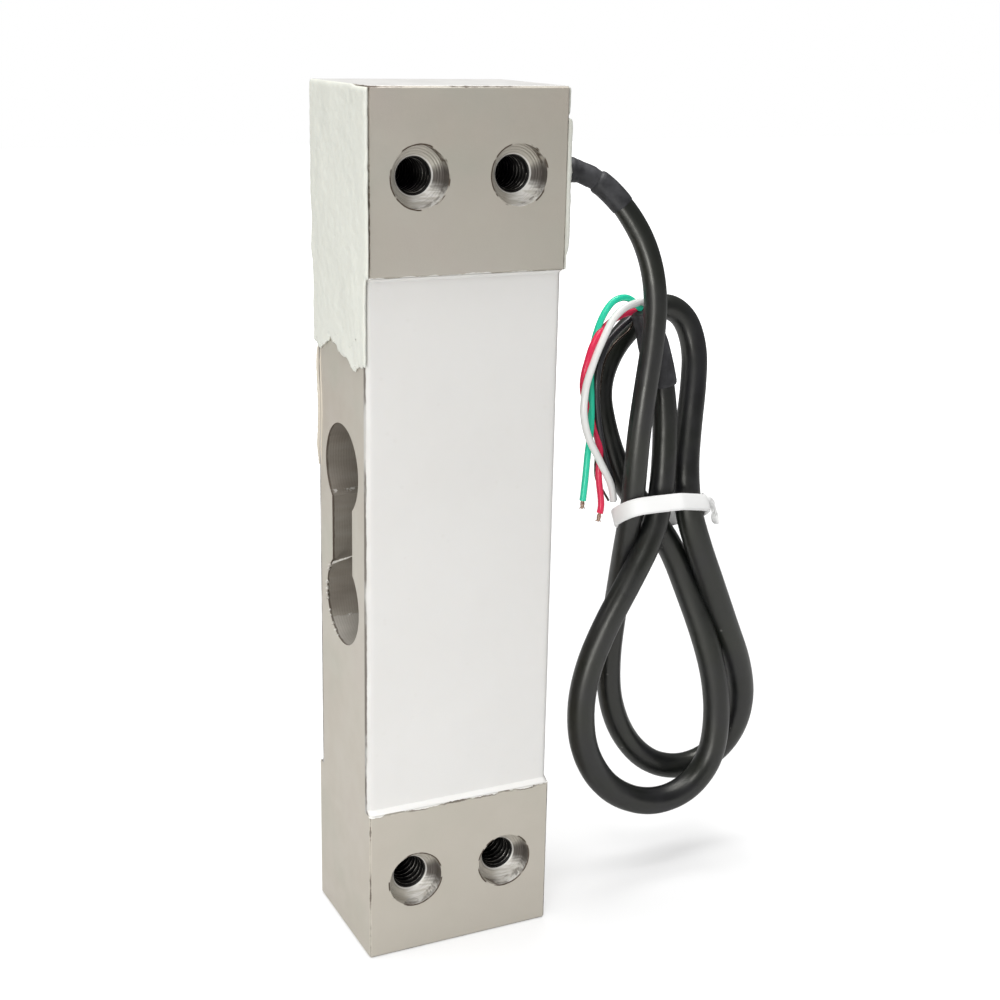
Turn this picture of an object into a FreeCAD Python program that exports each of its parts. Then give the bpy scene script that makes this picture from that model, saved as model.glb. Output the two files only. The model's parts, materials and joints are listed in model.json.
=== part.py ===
import FreeCAD, Part
import math
import os

from FreeCAD import Placement, Rotation, Vector
from Sketcher import Constraint

# Single point load cell: a milled aluminium beam that stands on its lower end, with strain gauges under
# silicone in a recess on each broad face, potted side pockets, and a cable folded into a tied hank.
# Frame: Z runs along the beam, X across its broad faces and Y through its thickness. The origin is the
# centre of the lower end face. All sizes are in millimetres.

# name: (value, what it drives)
DIMENSIONS = {
    "beam_length": (130.0, "Length of the beam"),
    "beam_width": (30.0, "Width of the broad faces"),
    "beam_thickness": (22.0, "Thickness between the broad faces"),
    "edge_chamfer": (0.3, "Chamfer on the outer edges of the block"),
    "lower_pad_length": (24.0, "Length of the lower mounting pad"),
    "upper_pad_start": (104.5, "Height at which the upper mounting pad begins"),
    "recess_depth": (2.0, "Depth of the recess in each broad face"),
    "hole_end_distance": (12.0, "Distance of a hole row from its end face"),
    "hole_row_spacing": (106.0, "Distance between the two hole rows"),
    "hole_spacing": (15.0, "Distance between the holes of a row"),
    "tap_radius": (2.5, "Radius of the tapped holes at the thread's crests"),
    "tap_mouth_radius": (3.05, "Radius of the chamfered mouth of a tapped hole"),
    "counterbore_radius": (4.3, "Radius of the counterbores"),
    "counterbore_depth": (1.9, "Depth of the counterbores at their wall"),
    "counterbore_cone": (0.25, "Further depth of a counterbore's conical floor"),
    "cutout_radius": (6.75, "Radius of the two cross bores of the binocular cut-out"),
    "cutout_spacing": (20.5, "Distance between the two cross bores"),
    "slot_width": (8.4, "Width of the slot that joins the cross bores"),
    "pocket_depth": (3.3, "Depth of the wiring pocket in each narrow side"),
    "pocket_width": (12.0, "Width of the wiring pockets"),
    "pocket_top": (124.0, "Top of both wiring pockets"),
    "left_pocket_bottom": (98.0, "Bottom of the left wiring pocket"),
    "right_pocket_bottom": (105.0, "Bottom of the right wiring pocket"),
    "cross_bore_radius": (2.5, "Radius of the bore that joins the pockets"),
    "cross_bore_height": (109.0, "Height of the bore that joins the pockets"),
    "coat_thickness": (1.05, "Thickness of the silicone over the recess floor"),
    "coat_end_rise": (0.85, "Extra thickness of the silicone where it meets a pad"),
    "coat_end_length": (5.0, "Length over which the silicone rises to a pad"),
    "coat_edge_radius": (0.8, "Rounding of the long edges of the silicone"),
    "left_skin": (0.6, "Thickness of the sealant on the left side"),
    "right_skin": (1.2, "Thickness of the sealant on the right side"),
    "right_skin_top": (125.6, "Top of the sealant on the right side"),
    "skin_rounding": (0.5, "Rounding of the sealant's outer edges"),
    "mound_radius": (6.0, "Foot radius of the sealant mound round the cable"),
    "mound_tip_radius": (2.75, "Radius of the mound where it ends on the sleeve"),
    "mound_height": (4.6, "Height of the sealant mound above the sealant"),
    "gauge_length": (9.0, "Length of a strain gauge's backing"),
    "gauge_width": (6.0, "Width of a strain gauge's backing"),
    "gauge_thickness": (0.1, "Thickness of a strain gauge"),
    "terminal_length": (5.0, "Length of a solder terminal strip"),
    "terminal_width": (7.0, "Width of a solder terminal strip"),
    "terminal_thickness": (0.3, "Thickness of a solder terminal strip with its pads"),
    "terminal_base": (0.15, "Thickness of a solder terminal strip under its pads"),
    "terminal_pad_width": (1.0, "Width of a solder pad"),
    "terminal_pad_length": (3.5, "Length of a solder pad"),
    "terminal_pad_pitch": (2.0, "Distance from one solder pad to the next"),
    "terminal_height": (89.0, "Height of the solder terminal strips"),
    "board_length": (9.0, "Length of the junction board"),
    "board_width": (9.0, "Width of the junction board"),
    "board_thickness": (0.8, "Thickness of the junction board"),
    "board_bottom": (112.5, "Height of the junction board's lower edge"),
    "cable_radius": (2.0, "Radius of the cable"),
    "entry_sleeve_radius": (2.4, "Outer radius of the sleeve at the cable's exit"),
    "end_sleeve_radius": (2.45, "Outer radius of the sleeve at the cable's free end"),
    "end_sleeve_length": (13.0, "Length of the sleeve at the cable's free end"),
    "end_sleeve_overhang": (6.5, "Distance by which that sleeve reaches past the cable's end"),
    "wire_radius": (0.58, "Radius of an insulated wire"),
    "tip_radius": (0.32, "Radius of a wire's bare tip"),
    "shield_radius": (0.25, "Radius of the bare shield wire"),
    "lead_radius": (0.25, "Radius of a gauge lead bundle"),
    "cross_lead_radius": (0.4, "Radius of the lead bundle in the cross bore"),
    "tie_clearance": (0.15, "Clearance of the tie round the strands"),
    "tie_thickness": (0.7, "Thickness of the tie's band"),
    "tie_height": (2.8, "Height of the tie's band"),
    "tie_level": (63.9, "Height of the middle of the tie"),
    "tie_tilt": (4.0, "Tilt of the tie in degrees, raised towards +X"),
    "tie_pitch": (22.0, "Pitch of the tie in degrees, raised in front"),
    "tie_tail_radius": (0.5, "Radius of the tie's twisted tail"),
    "skin_margin": (0.15, "Distance of the side sealants from the edges of the faces they lie on"),
    "lead_passage_inset": (1.7, "Distance of the lead passage from the left side"),
    "lead_passage_height": (102.0, "Height of the lead passage"),
    "lead_passage_radius": (1.2, "Radius of the lead passage"),
    "chip_length": (2.0, "Length of the chip resistor"),
    "chip_width": (1.25, "Width of the chip resistor"),
    "chip_thickness": (0.5, "Thickness of the chip resistor"),
    "chip_offset": (0.85, "Distance of the chip resistor from the board's middle"),
    "chip_inset": (1.2, "Distance of the chip resistor from the board's lower edge"),
    "span_inset": (2.0, "Distance of the span resistor from the board's upper edge"),
    "span_radius": (0.8, "Radius of the span resistor"),
    "span_length": (4.0, "Length of the span resistor"),
    "cable_exit_height": (117.4, "Height of the cable's exit"),
    "entry_sleeve_start": (0.8, "Distance along the cable at which its entry sleeve starts"),
    "entry_sleeve_end": (12.6, "Distance along the cable at which its entry sleeve ends"),
}

# Route of the cable from the right pocket, down, through two loops and a bend, to its free end.
CABLE_ROUTE = [
    (13.6, 0.0, 117.4), (18.0, 0.0, 117.8), (22.6, -1.0, 117.4), (26.4, -2.3, 115.0),
    (29.8, -3.5, 111.0), (32.6, -4.5, 105.8), (34.0, -5.2, 99.2), (33.7, -5.4, 92.0),
    (32.8, -5.3, 84.6), (32.1, -5.0, 77.8), (31.8, -4.4, 71.4), (31.9, -3.3, 65.0),
    (31.7, -1.2, 58.2), (32.0, 1.1, 51.4), (32.5, 2.7, 44.2), (32.8, 3.1, 36.6),
    (33.7, 3.1, 29.2), (36.4, 3.1, 22.1), (41.4, 3.0, 16.4), (47.6, 2.8, 14.0),
    (53.6, 2.4, 15.0), (57.8, 1.8, 19.2), (59.3, 1.0, 25.6), (57.8, 0.3, 33.2),
    (54.2, -0.5, 40.8), (50.6, -1.2, 48.4), (47.0, -1.7, 56.0), (44.6, -1.7, 62.8),
    (44.1, -0.6, 69.6), (45.3, 1.1, 75.8), (46.8, 2.8, 82.0), (47.6, 4.3, 88.2),
    (45.8, 5.3, 93.6), (41.4, 5.7, 95.6), (36.5, 5.5, 92.8), (32.4, 4.8, 88.4),
    (30.2, 3.7, 82.8), (30.1, 2.7, 76.8), (31.6, 2.1, 71.0), (35.0, 1.8, 65.6),
    (39.4, 1.8, 60.6), (43.0, 1.8, 54.8), (45.6, 1.1, 48.0), (48.6, -0.4, 40.6),
    (51.2, -1.6, 32.8), (52.4, -2.2, 24.8), (51.0, -2.5, 17.0), (46.0, -2.6, 11.8),
    (38.6, -2.6, 10.9), (31.0, -2.6, 15.0), (26.2, -2.6, 22.6), (24.9, -2.7, 31.0),
    (26.0, -3.1, 38.8), (28.6, -3.9, 46.4), (32.4, -4.3, 53.4), (36.6, -3.5, 60.0),
    (38.8, -2.7, 66.6), (39.5, -2.0, 73.2), (39.7, -1.2, 79.0), (38.8, -0.5, 84.4),
    (36.8, -0.4, 90.4), (34.6, -0.4, 96.0),
]

# Route of the leads from the front terminals through the lead passage to the junction board.
GAUGE_LEAD_ROUTE = [
    (-3.6, -9.32, 91.5), (-7.0, -9.32, 91.9), (-10.6, -9.32, 94.0), (-12.9, -9.32, 97.4),
    (-13.3, -9.36, 102.0), (-13.2, -5.2, 102.1), (-13.5, -2.8, 105.2), (-13.2, -2.7, 109.0),
    (-12.76, -2.6, 112.6), (-12.76, -2.8, 115.6),
]

# Route of the lead bundle from the cable's end through the cross bore to the junction board.
CROSS_LEAD_ROUTE = [
    (13.6, 0.0, 117.4), (12.3, 0.0, 117.3), (12.2, 0.0, 113.4), (12.1, 0.0, 109.1), (4.0, 0.1, 108.9),
    (-5.0, 0.1, 109.1), (-12.6, 0.0, 108.9), (-13.4, 0.0, 111.4), (-12.91, 0.0, 114.0), (-12.91, 0.1, 116.4),
]

# Each wire leaves the sleeve's end face at a seat: (across, back) from the face's centre.
WIRE_SEATS = {
    "wire_green": (-1.1, -0.5),
    "wire_red": (-0.9, 0.9),
    "wire_white": (0.3, -1.2),
    "wire_black": (0.5, 0.4),
    "shield_wire": (0.0, 1.6),
}
WIRE_ROUTES = {
    "wire_green": [
        (32.9, -0.9, 97.6), (31.0, -0.9, 98.7), (28.4, -1.4, 98.1), (26.4, -1.5, 95.3), (25.9, -1.0, 91.3),
        (25.5, -1.6, 87.4), (25.4, -1.8, 83.0), (25.4, -1.6, 78.6), (25.0, -1.4, 74.4), (24.7, -1.3, 70.4),
        (24.5, -1.3, 66.6),
    ],
    "wire_red": [
        (32.6, 0.4, 97.2), (30.7, 0.0, 97.7), (28.5, -0.5, 96.6), (27.4, -2.1, 93.7), (25.3, -2.8, 90.3),
        (24.1, -2.7, 86.8), (24.0, -1.2, 83.3), (25.5, 0.0, 79.8), (26.8, -0.5, 76.2), (27.1, -0.9, 72.2),
        (26.6, -0.8, 68.0), (27.7, -1.3, 64.6),
    ],
    "wire_white": [
        (33.7, -2.0, 97.6), (31.8, -2.4, 98.1), (29.2, -2.7, 96.9), (26.9, -3.4, 93.7), (24.9, -4.1, 90.1),
        (23.6, -4.2, 86.0), (23.4, -3.9, 81.5), (24.3, -3.2, 77.1), (26.3, -2.6, 72.9), (28.7, -2.2, 69.4),
        (29.8, -1.2, 66.0),
    ],
    "wire_black": [
        (34.0, 0.1, 98.4), (31.7, -0.8, 100.0), (29.5, -2.6, 99.2), (27.4, -4.0, 96.0), (25.2, -5.1, 92.0),
        (23.7, -5.5, 87.6), (23.1, -5.3, 82.8), (23.8, -4.7, 78.3), (25.2, -4.1, 74.0), (26.9, -3.1, 69.8),
        (28.3, -0.7, 66.8), (28.7, -0.1, 65.2),
    ],
    "shield_wire": [
        (33.2, 1.7, 97.1), (31.2, 1.6, 97.5), (29.1, 1.1, 96.3), (27.6, 0.8, 93.6), (26.6, 0.4, 90.2),
        (26.2, 0.2, 86.2), (26.6, 0.3, 82.0), (27.3, 0.2, 77.8), (27.0, 0.4, 73.6), (26.2, 0.2, 69.6),
        (25.8, -0.4, 66.0),
    ],
}
BARE_TIPS = {"tip_green": ("wire_green", 2.6), "tip_red": ("wire_red", 2.2)}

# Corners round the strands' centres where the tie holds them, in the tie's own plane about its centre.
TIE_CORNERS = [
    (-6.1, -4.05), (0.8, -3.2), (6.65, -1.35), (6.65, -0.45), (0.7, 3.25), (-1.8, 2.2), (-6.2, -1.5),
]
TIE_CENTRE = (38.0, -0.5)
TIE_TAIL_ROUTE = [(46.8, -1.2, 64.5), (48.5, -0.9, 63.5), (49.8, -0.6, 61.3), (50.5, -0.5, 58.8)]

# Ragged lower edge of the left sealant, from the front to the rear, in Y and Z.
RAGGED_EDGE = [(-8.85, 92.6), (-6.2, 91.3), (-1.2, 92.3), (3.3, 94.2), (6.4, 92.4), (8.85, 91.9)]

ARC_SHARE = 0.45

# Solder pads on each terminal strip
TERMINAL_PADS = 4


class Sheet:
    """Spreadsheet of the driving dimensions."""

    def __init__(self, doc):
        self.sheet = doc.addObject("Spreadsheet::Sheet", "Dims")
        for row, (alias, (value, meaning)) in enumerate(DIMENSIONS.items(), start=1):
            self.sheet.set(f"A{row}", meaning)
            self.sheet.set(f"B{row}", str(value))
            self.sheet.setAlias(f"B{row}", alias)

    def __getattr__(self, alias):
        return float(getattr(self.sheet, alias))


def bind(obj, **expressions):
    """Bind properties of an object to expressions over the sheet."""
    for prop, expression in expressions.items():
        obj.setExpression(prop, expression)


def origin_plane(body, role):
    """Return one of a body's own origin planes."""
    return next(item for item in body.Origin.OriginFeatures if item.Role == role)


def new_sketch(body, name, role, **offsets):
    """Add a sketch on an origin plane of its body, moved by bound offsets in that plane's own frame."""
    sketch = body.newObject("Sketcher::SketchObject", name)
    sketch.AttachmentSupport = [(origin_plane(body, role), "")]
    sketch.MapMode = "FlatFace"
    for axis, expression in offsets.items():
        sketch.setExpression(f".AttachmentOffset.Base.{axis}", expression)
    return sketch


def draw_polygon(sketch, corners):
    """Draw a closed polygon whose corners are held by distances bound to the sheet.

    Each corner is (x, y, x expression, y expression), measured from the sketch's origin.
    """
    count = len(corners)
    for index in range(count):
        start = Vector(*corners[index][:2], 0)
        end = Vector(*corners[(index + 1) % count][:2], 0)
        sketch.addGeometry(Part.LineSegment(start, end), False)
    for index in range(count):
        sketch.addConstraint(Constraint("Coincident", index, 2, (index + 1) % count, 1))
    for index, (x, y, x_rule, y_rule) in enumerate(corners):
        for kind, value, rule in (("DistanceX", x, x_rule), ("DistanceY", y, y_rule)):
            number = sketch.addConstraint(Constraint(kind, -1, 1, index, 1, value))
            sketch.setExpression(f"Constraints[{number}]", rule)


def draw_circle(sketch, centre_rules, radius_rule):
    """Draw a circle whose centre and radius are bound to the sheet."""
    geometry = sketch.addGeometry(Part.Circle(Vector(1, 1, 0), Vector(0, 0, 1), 1), False)
    for kind, rule in zip(("DistanceX", "DistanceY"), centre_rules):
        number = sketch.addConstraint(Constraint(kind, -1, 1, geometry, 3, 1.0))
        sketch.setExpression(f"Constraints[{number}]", rule)
    number = sketch.addConstraint(Constraint("Radius", geometry, 1.0))
    sketch.setExpression(f"Constraints[{number}]", radius_rule)


def draw_pocket_slot(sketch, dims, bottom):
    """Draw a wiring pocket's outline: an upright slot with round ends, from the named bottom upwards."""
    radius = dims.pocket_width / 2
    low = getattr(dims, bottom) + radius
    high = dims.pocket_top - radius
    up = Vector(0, 0, 1)
    top = Part.ArcOfCircle(Part.Circle(Vector(0, high, 0), up, radius), 0, math.pi)
    base = Part.ArcOfCircle(Part.Circle(Vector(0, low, 0), up, radius), math.pi, 2 * math.pi)
    left = Part.LineSegment(Vector(-radius, high, 0), Vector(-radius, low, 0))
    right = Part.LineSegment(Vector(radius, low, 0), Vector(radius, high, 0))
    sketch.addGeometry([top, left, base, right], False)
    for first, first_end, second, second_end in ((0, 2, 1, 1), (1, 2, 2, 1), (2, 2, 3, 1), (3, 2, 0, 1)):
        sketch.addConstraint(Constraint("Tangent", first, first_end, second, second_end))
    sketch.addConstraint(Constraint("PointOnObject", 0, 3, -2))
    rules = (
        (Constraint("Radius", 0, radius), "Dims.pocket_width / 2"),
        (Constraint("DistanceY", -1, 1, 0, 3, high), "Dims.pocket_top - Dims.pocket_width / 2"),
        (Constraint("DistanceY", -1, 1, 2, 3, low), f"Dims.{bottom} + Dims.pocket_width / 2"),
    )
    for constraint, rule in rules:
        number = sketch.addConstraint(constraint)
        sketch.setExpression(f"Constraints[{number}]", rule)


def symmetric(feature, sketch, length_rule):
    """Make a pad or pocket reach the same distance to both sides of its sketch."""
    feature.Profile = sketch
    feature.SideType = "Symmetric"
    feature.setExpression("Length", length_rule)


def edges_where(shape, test):
    """Return the names of a shape's edges whose end points all pass a test."""
    names = []
    for number, edge in enumerate(shape.Edges, start=1):
        if all(test(vertex.Point) for vertex in edge.Vertexes):
            names.append(f"Edge{number}")
    return names


def near(value, target):
    """Tell whether two lengths agree within a micrometre."""
    return abs(value - target) < 1e-3


def make_beam(doc, dims):
    """The milled block: two pads, recesses, binocular cut-out, counterbored tapped holes and pockets."""
    body = doc.addObject("PartDesign::Body", "Beam")
    face = "Dims.beam_thickness / 2"
    floor = f"({face} - Dims.recess_depth)"
    low = "Dims.lower_pad_length"
    high = "Dims.upper_pad_start"
    top = "Dims.beam_length"
    profile = new_sketch(body, "BeamProfile", "YZ_Plane")
    half = dims.beam_thickness / 2
    inner = half - dims.recess_depth
    right_side = [
        (half, 0, face, "0 mm"),
        (half, dims.lower_pad_length, face, low),
        (inner, dims.lower_pad_length, floor, low),
        (inner, dims.upper_pad_start, floor, high),
        (half, dims.upper_pad_start, face, high),
        (half, dims.beam_length, face, top),
    ]
    left_side = [(-y, z, f"-{y_rule}", z_rule) for y, z, y_rule, z_rule in reversed(right_side)]
    draw_polygon(profile, right_side + left_side)
    block = body.newObject("PartDesign::Pad", "Block")
    symmetric(block, profile, "Dims.beam_width")
    doc.recompute()

    edges = body.newObject("PartDesign::Chamfer", "OuterEdges")
    side = dims.beam_width / 2
    ends = edges_where(block.Shape, lambda p: near(p.z, 0)) + edges_where(
        block.Shape, lambda p: near(p.z, dims.beam_length)
    )
    corners = edges_where(block.Shape, lambda p: near(abs(p.x), side) and near(abs(p.y), half))
    edges.Base = (block, sorted(set(ends + corners)))
    bind(edges, Size="Dims.edge_chamfer")
    doc.recompute()

    bores = new_sketch(body, "CutoutBores", "YZ_Plane")
    for sign in "+-":
        height = f"Dims.beam_length / 2 {sign} Dims.cutout_spacing / 2"
        draw_circle(bores, ("0 mm", height), "Dims.cutout_radius")
    symmetric(body.newObject("PartDesign::Pocket", "Bores"), bores, "2 * Dims.beam_width")

    slot = new_sketch(body, "CutoutSlot", "YZ_Plane")
    half_slot = dims.slot_width / 2
    ends = []
    for y_sign, z_sign in ((1, -1), (1, 1), (-1, 1), (-1, -1)):
        y = y_sign * half_slot
        z = (dims.beam_length + z_sign * dims.cutout_spacing) / 2
        y_rule = f"{y_sign} * Dims.slot_width / 2"
        z_rule = f"(Dims.beam_length + {z_sign} * Dims.cutout_spacing) / 2"
        ends.append((y, z, y_rule, z_rule))
    draw_polygon(slot, ends)
    symmetric(body.newObject("PartDesign::Pocket", "Slot"), slot, "2 * Dims.beam_width")

    crossing = new_sketch(body, "CrossBoreCircle", "YZ_Plane")
    draw_circle(crossing, ("0 mm", "Dims.cross_bore_height"), "Dims.cross_bore_radius")
    symmetric(body.newObject("PartDesign::Pocket", "CrossBore"), crossing, "Dims.beam_width")

    for name, sign, bottom in (("Left", -1, "left_pocket_bottom"), ("Right", 1, "right_pocket_bottom")):
        outline = new_sketch(body, f"{name}PocketOutline", "YZ_Plane", z=f"{sign} * Dims.beam_width / 2")
        draw_pocket_slot(outline, dims, bottom)
        pocket = body.newObject("PartDesign::Pocket", f"{name}Pocket")
        symmetric(pocket, outline, "2 * Dims.pocket_depth")

    passage = new_sketch(body, "LeadPassageCircle", "XZ_Plane")
    draw_circle(passage, ("-Dims.beam_width / 2 + Dims.lead_passage_inset", "Dims.lead_passage_height"),
                "Dims.lead_passage_radius")
    symmetric(body.newObject("PartDesign::Pocket", "LeadPassage"), passage, "Dims.beam_thickness")

    half_rule = "Dims.beam_thickness / 2"
    steps = [
        (half, 0, half_rule, "0 mm"),
        (half, dims.counterbore_radius, half_rule, "Dims.counterbore_radius"),
        (half - dims.counterbore_depth, dims.counterbore_radius,
         f"({half_rule} - Dims.counterbore_depth)", "Dims.counterbore_radius"),
        (half - dims.counterbore_depth - dims.counterbore_cone, dims.tap_mouth_radius,
         f"({half_rule} - Dims.counterbore_depth - Dims.counterbore_cone)", "Dims.tap_mouth_radius"),
        (half - dims.counterbore_depth - dims.counterbore_cone - dims.tap_mouth_radius + dims.tap_radius,
         dims.tap_radius,
         f"({half_rule} - Dims.counterbore_depth - Dims.counterbore_cone - Dims.tap_mouth_radius"
         " + Dims.tap_radius)", "Dims.tap_radius"),
    ]
    mirrored = [(-y, r, f"-{y_rule}", r_rule) for y, r, y_rule, r_rule in reversed(steps)]
    hole = None
    for row, height in (("Lower", "Dims.hole_end_distance"),
                        ("Upper", "Dims.hole_end_distance + Dims.hole_row_spacing")):
        for column, sign in (("Left", -1), ("Right", 1)):
            outline = new_sketch(body, f"{row}{column}HoleProfile", "YZ_Plane",
                                 y=height, z=f"{sign} * Dims.hole_spacing / 2")
            draw_polygon(outline, steps + mirrored)
            hole = body.newObject("PartDesign::Groove", f"{row}{column}Hole")
            hole.Profile = outline
            hole.ReferenceAxis = (outline, ["H_Axis"])
            hole.Angle = 360
    body.Tip = hole
    return body


def box(doc, name, size_rules, corner_rules):
    """A Part box whose sizes and lowest corner are bound to the sheet."""
    item = doc.addObject("Part::Box", name)
    bind(item, Length=size_rules[0], Width=size_rules[1], Height=size_rules[2])
    for axis, rule in zip("xyz", corner_rules):
        item.setExpression(f".Placement.Base.{axis}", rule)
    return item


def make_gauge(doc, name, side, level):
    """A foil gauge on a recess floor over one cross bore. side is -1 in front, level is -1 below."""
    floor = "(Dims.beam_thickness / 2 - Dims.recess_depth)"
    start = f"{floor}" if side > 0 else f"-{floor} - Dims.gauge_thickness"
    middle = f"Dims.beam_length / 2 + {level} * Dims.cutout_spacing / 2"
    return box(doc, name, ("Dims.gauge_width", "Dims.gauge_thickness", "Dims.gauge_length"),
               ("-Dims.gauge_width / 2", start, f"{middle} - Dims.gauge_length / 2"))


def make_terminals(doc, name, side):
    """A solder terminal strip with its raised pads, on a recess floor above the gauges."""
    floor = "(Dims.beam_thickness / 2 - Dims.recess_depth)"
    base_start = floor if side > 0 else f"-{floor} - Dims.terminal_base"
    pad_start = floor if side > 0 else f"-{floor} - Dims.terminal_thickness"
    strip = box(doc, f"{name}_strip", ("Dims.terminal_width", "Dims.terminal_base", "Dims.terminal_length"),
                ("-Dims.terminal_width / 2", base_start, "Dims.terminal_height"))
    pads = [strip]
    for number in range(TERMINAL_PADS):
        pads.append(box(doc, f"{name}_pad_{number + 1}",
                        ("Dims.terminal_pad_width", "Dims.terminal_thickness", "Dims.terminal_pad_length"),
                        (f"-Dims.terminal_width / 2 + {number} * Dims.terminal_pad_pitch", pad_start,
                         "Dims.terminal_height + (Dims.terminal_length - Dims.terminal_pad_length) / 2")))
    fused = doc.addObject("Part::MultiFuse", name)
    fused.Shapes = pads
    return fused


def make_coat_blank(doc, dims, name, side):
    """Silicone over a recess: thin over the floor, rising at both ends to the pads, with round long edges."""
    body = doc.addObject("PartDesign::Body", name)
    sketch = new_sketch(body, f"{name}Profile", "YZ_Plane")
    floor = dims.beam_thickness / 2 - dims.recess_depth
    skin = floor + dims.coat_thickness
    rise = skin + dims.coat_end_rise
    floor_rule = "(Dims.beam_thickness / 2 - Dims.recess_depth)"
    skin_rule = f"({floor_rule} + Dims.coat_thickness)"
    rise_rule = f"({skin_rule} + Dims.coat_end_rise)"
    low = "Dims.lower_pad_length"
    high = "Dims.upper_pad_start"
    corners = [
        (floor, dims.lower_pad_length, floor_rule, low),
        (rise, dims.lower_pad_length, rise_rule, low),
        (skin, dims.lower_pad_length + dims.coat_end_length, skin_rule, f"{low} + Dims.coat_end_length"),
        (skin, dims.upper_pad_start - dims.coat_end_length, skin_rule, f"{high} - Dims.coat_end_length"),
        (rise, dims.upper_pad_start, rise_rule, high),
        (floor, dims.upper_pad_start, floor_rule, high),
    ]
    draw_polygon(sketch, [(side * y, z, f"{side} * {y_rule}", z_rule) for y, z, y_rule, z_rule in corners])
    pad = body.newObject("PartDesign::Pad", f"{name}Pad")
    symmetric(pad, sketch, "Dims.beam_width")
    doc.recompute()
    rounding = body.newObject("PartDesign::Fillet", f"{name}Rounding")
    edge = dims.beam_width / 2
    long_edges = edges_where(pad.Shape, lambda p: near(abs(p.x), edge) and abs(p.y) > floor + 0.1)
    rounding.Base = (pad, long_edges)
    bind(rounding, Radius="Dims.coat_edge_radius")
    return body


def make_skin(doc, dims, name, side, outline, depth_rule, pocket_bottom):
    """Sealant on a narrow side: a rounded skin of the given outline and the fill of the pocket beneath."""
    body = doc.addObject("PartDesign::Body", name)
    face_rule = f"{side} * Dims.beam_width / 2"
    sketch = new_sketch(body, f"{name}Outline", "YZ_Plane", z=face_rule)
    draw_polygon(sketch, outline)
    pad = body.newObject("PartDesign::Pad", f"{name}Skin")
    pad.Profile = sketch
    bind(pad, Length=depth_rule)
    pad.Reversed = side < 0
    doc.recompute()
    outer = side * dims.beam_width / 2 + side * pad.Length.Value
    rounding = body.newObject("PartDesign::Fillet", f"{name}Rounding")
    rounding.Base = (pad, edges_where(pad.Shape, lambda p: near(p.x, outer)))
    bind(rounding, Radius="Dims.skin_rounding")
    doc.recompute()
    fill_outline = new_sketch(body, f"{name}FillOutline", "YZ_Plane", z=face_rule)
    draw_pocket_slot(fill_outline, dims, pocket_bottom)
    fill = body.newObject("PartDesign::Pad", f"{name}Fill")
    fill.Profile = fill_outline
    bind(fill, Length="Dims.pocket_depth")
    fill.Reversed = side > 0
    body.Tip = fill
    return body


def route_edges(points):
    """Straight runs joined by tangent arcs, each arc as large as its two runs allow."""
    points = [Vector(*point) for point in points]
    edges = []
    radii = []
    start = points[0]
    for before, corner, after in zip(points, points[1:], points[2:]):
        arriving = corner - before
        leaving = after - corner
        cut = ARC_SHARE * min(arriving.Length, leaving.Length)
        half_turn = arriving.getAngle(leaving) / 2
        arriving.normalize()
        leaving.normalize()
        entry = corner - arriving * cut
        departure = corner + leaving * cut
        radius = cut / math.tan(half_turn)
        radii.append(radius)
        inward = leaving - arriving
        inward.normalize()
        middle = corner + inward * (radius / math.cos(half_turn) - radius)
        edges.append(Part.makeLine(start, entry))
        edges.append(Part.Arc(entry, middle, departure).toShape())
        start = departure
    edges.append(Part.makeLine(start, points[-1]))
    return edges, radii


def stretch(edges, start, end):
    """The part of a chain of edges between two distances from its beginning."""
    kept = []
    passed = 0.0
    for edge in edges:
        low = max(start - passed, 0.0)
        high = min(end - passed, edge.Length)
        if high - low > 1e-6:
            first = edge.getParameterByLength(low)
            last = edge.getParameterByLength(high)
            kept.append(edge.Curve.toShape(first, last))
        passed += edge.Length
    return kept


def sweep(edges, radius):
    """Sweep a round section along a chain of tangent edges, and check the volume of the result."""
    first = edges[0]
    origin = first.valueAt(first.FirstParameter)
    direction = first.tangentAt(first.FirstParameter)
    section = Part.Wire([Part.makeCircle(radius, origin, direction)])
    tube = Part.Wire(edges).makePipeShell([section], True, False)
    length = sum(edge.Length for edge in edges)
    expected = math.pi * radius**2 * length
    if not tube.isValid() or abs(tube.Volume - expected) > 0.01 * expected:
        raise RuntimeError(f"a sweep of radius {radius} came out with volume {tube.Volume:.2f}")
    return tube


def feature(doc, name, shape):
    """Store a finished shape as a document object."""
    item = doc.addObject("Part::Feature", name)
    item.Shape = shape
    return item


def minus(doc, name, base, tools):
    """Cut several objects from a base object, one after the other."""
    for tool in tools:
        cut = doc.addObject("Part::Cut", name if tool is tools[-1] else f"{name}_less_{tool.Name}")
        cut.Base = base
        cut.Tool = tool
        base = cut
    return base


def make_board(doc):
    """The junction board on the floor of the left pocket."""
    return box(doc, "junction_board", ("Dims.board_thickness", "Dims.board_width", "Dims.board_length"),
               ("-Dims.beam_width / 2 + Dims.pocket_depth - Dims.board_thickness",
                "-Dims.board_width / 2", "Dims.board_bottom"))


def make_zero_resistor(doc):
    """The chip resistor that trims the bridge's zero, on the board's face."""
    face = "(-Dims.beam_width / 2 + Dims.pocket_depth - Dims.board_thickness)"
    return box(doc, "zero_resistor", ("Dims.chip_thickness", "Dims.chip_width", "Dims.chip_length"),
               (f"{face} - Dims.chip_thickness", "Dims.chip_offset", "Dims.board_bottom + Dims.chip_inset"))


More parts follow.
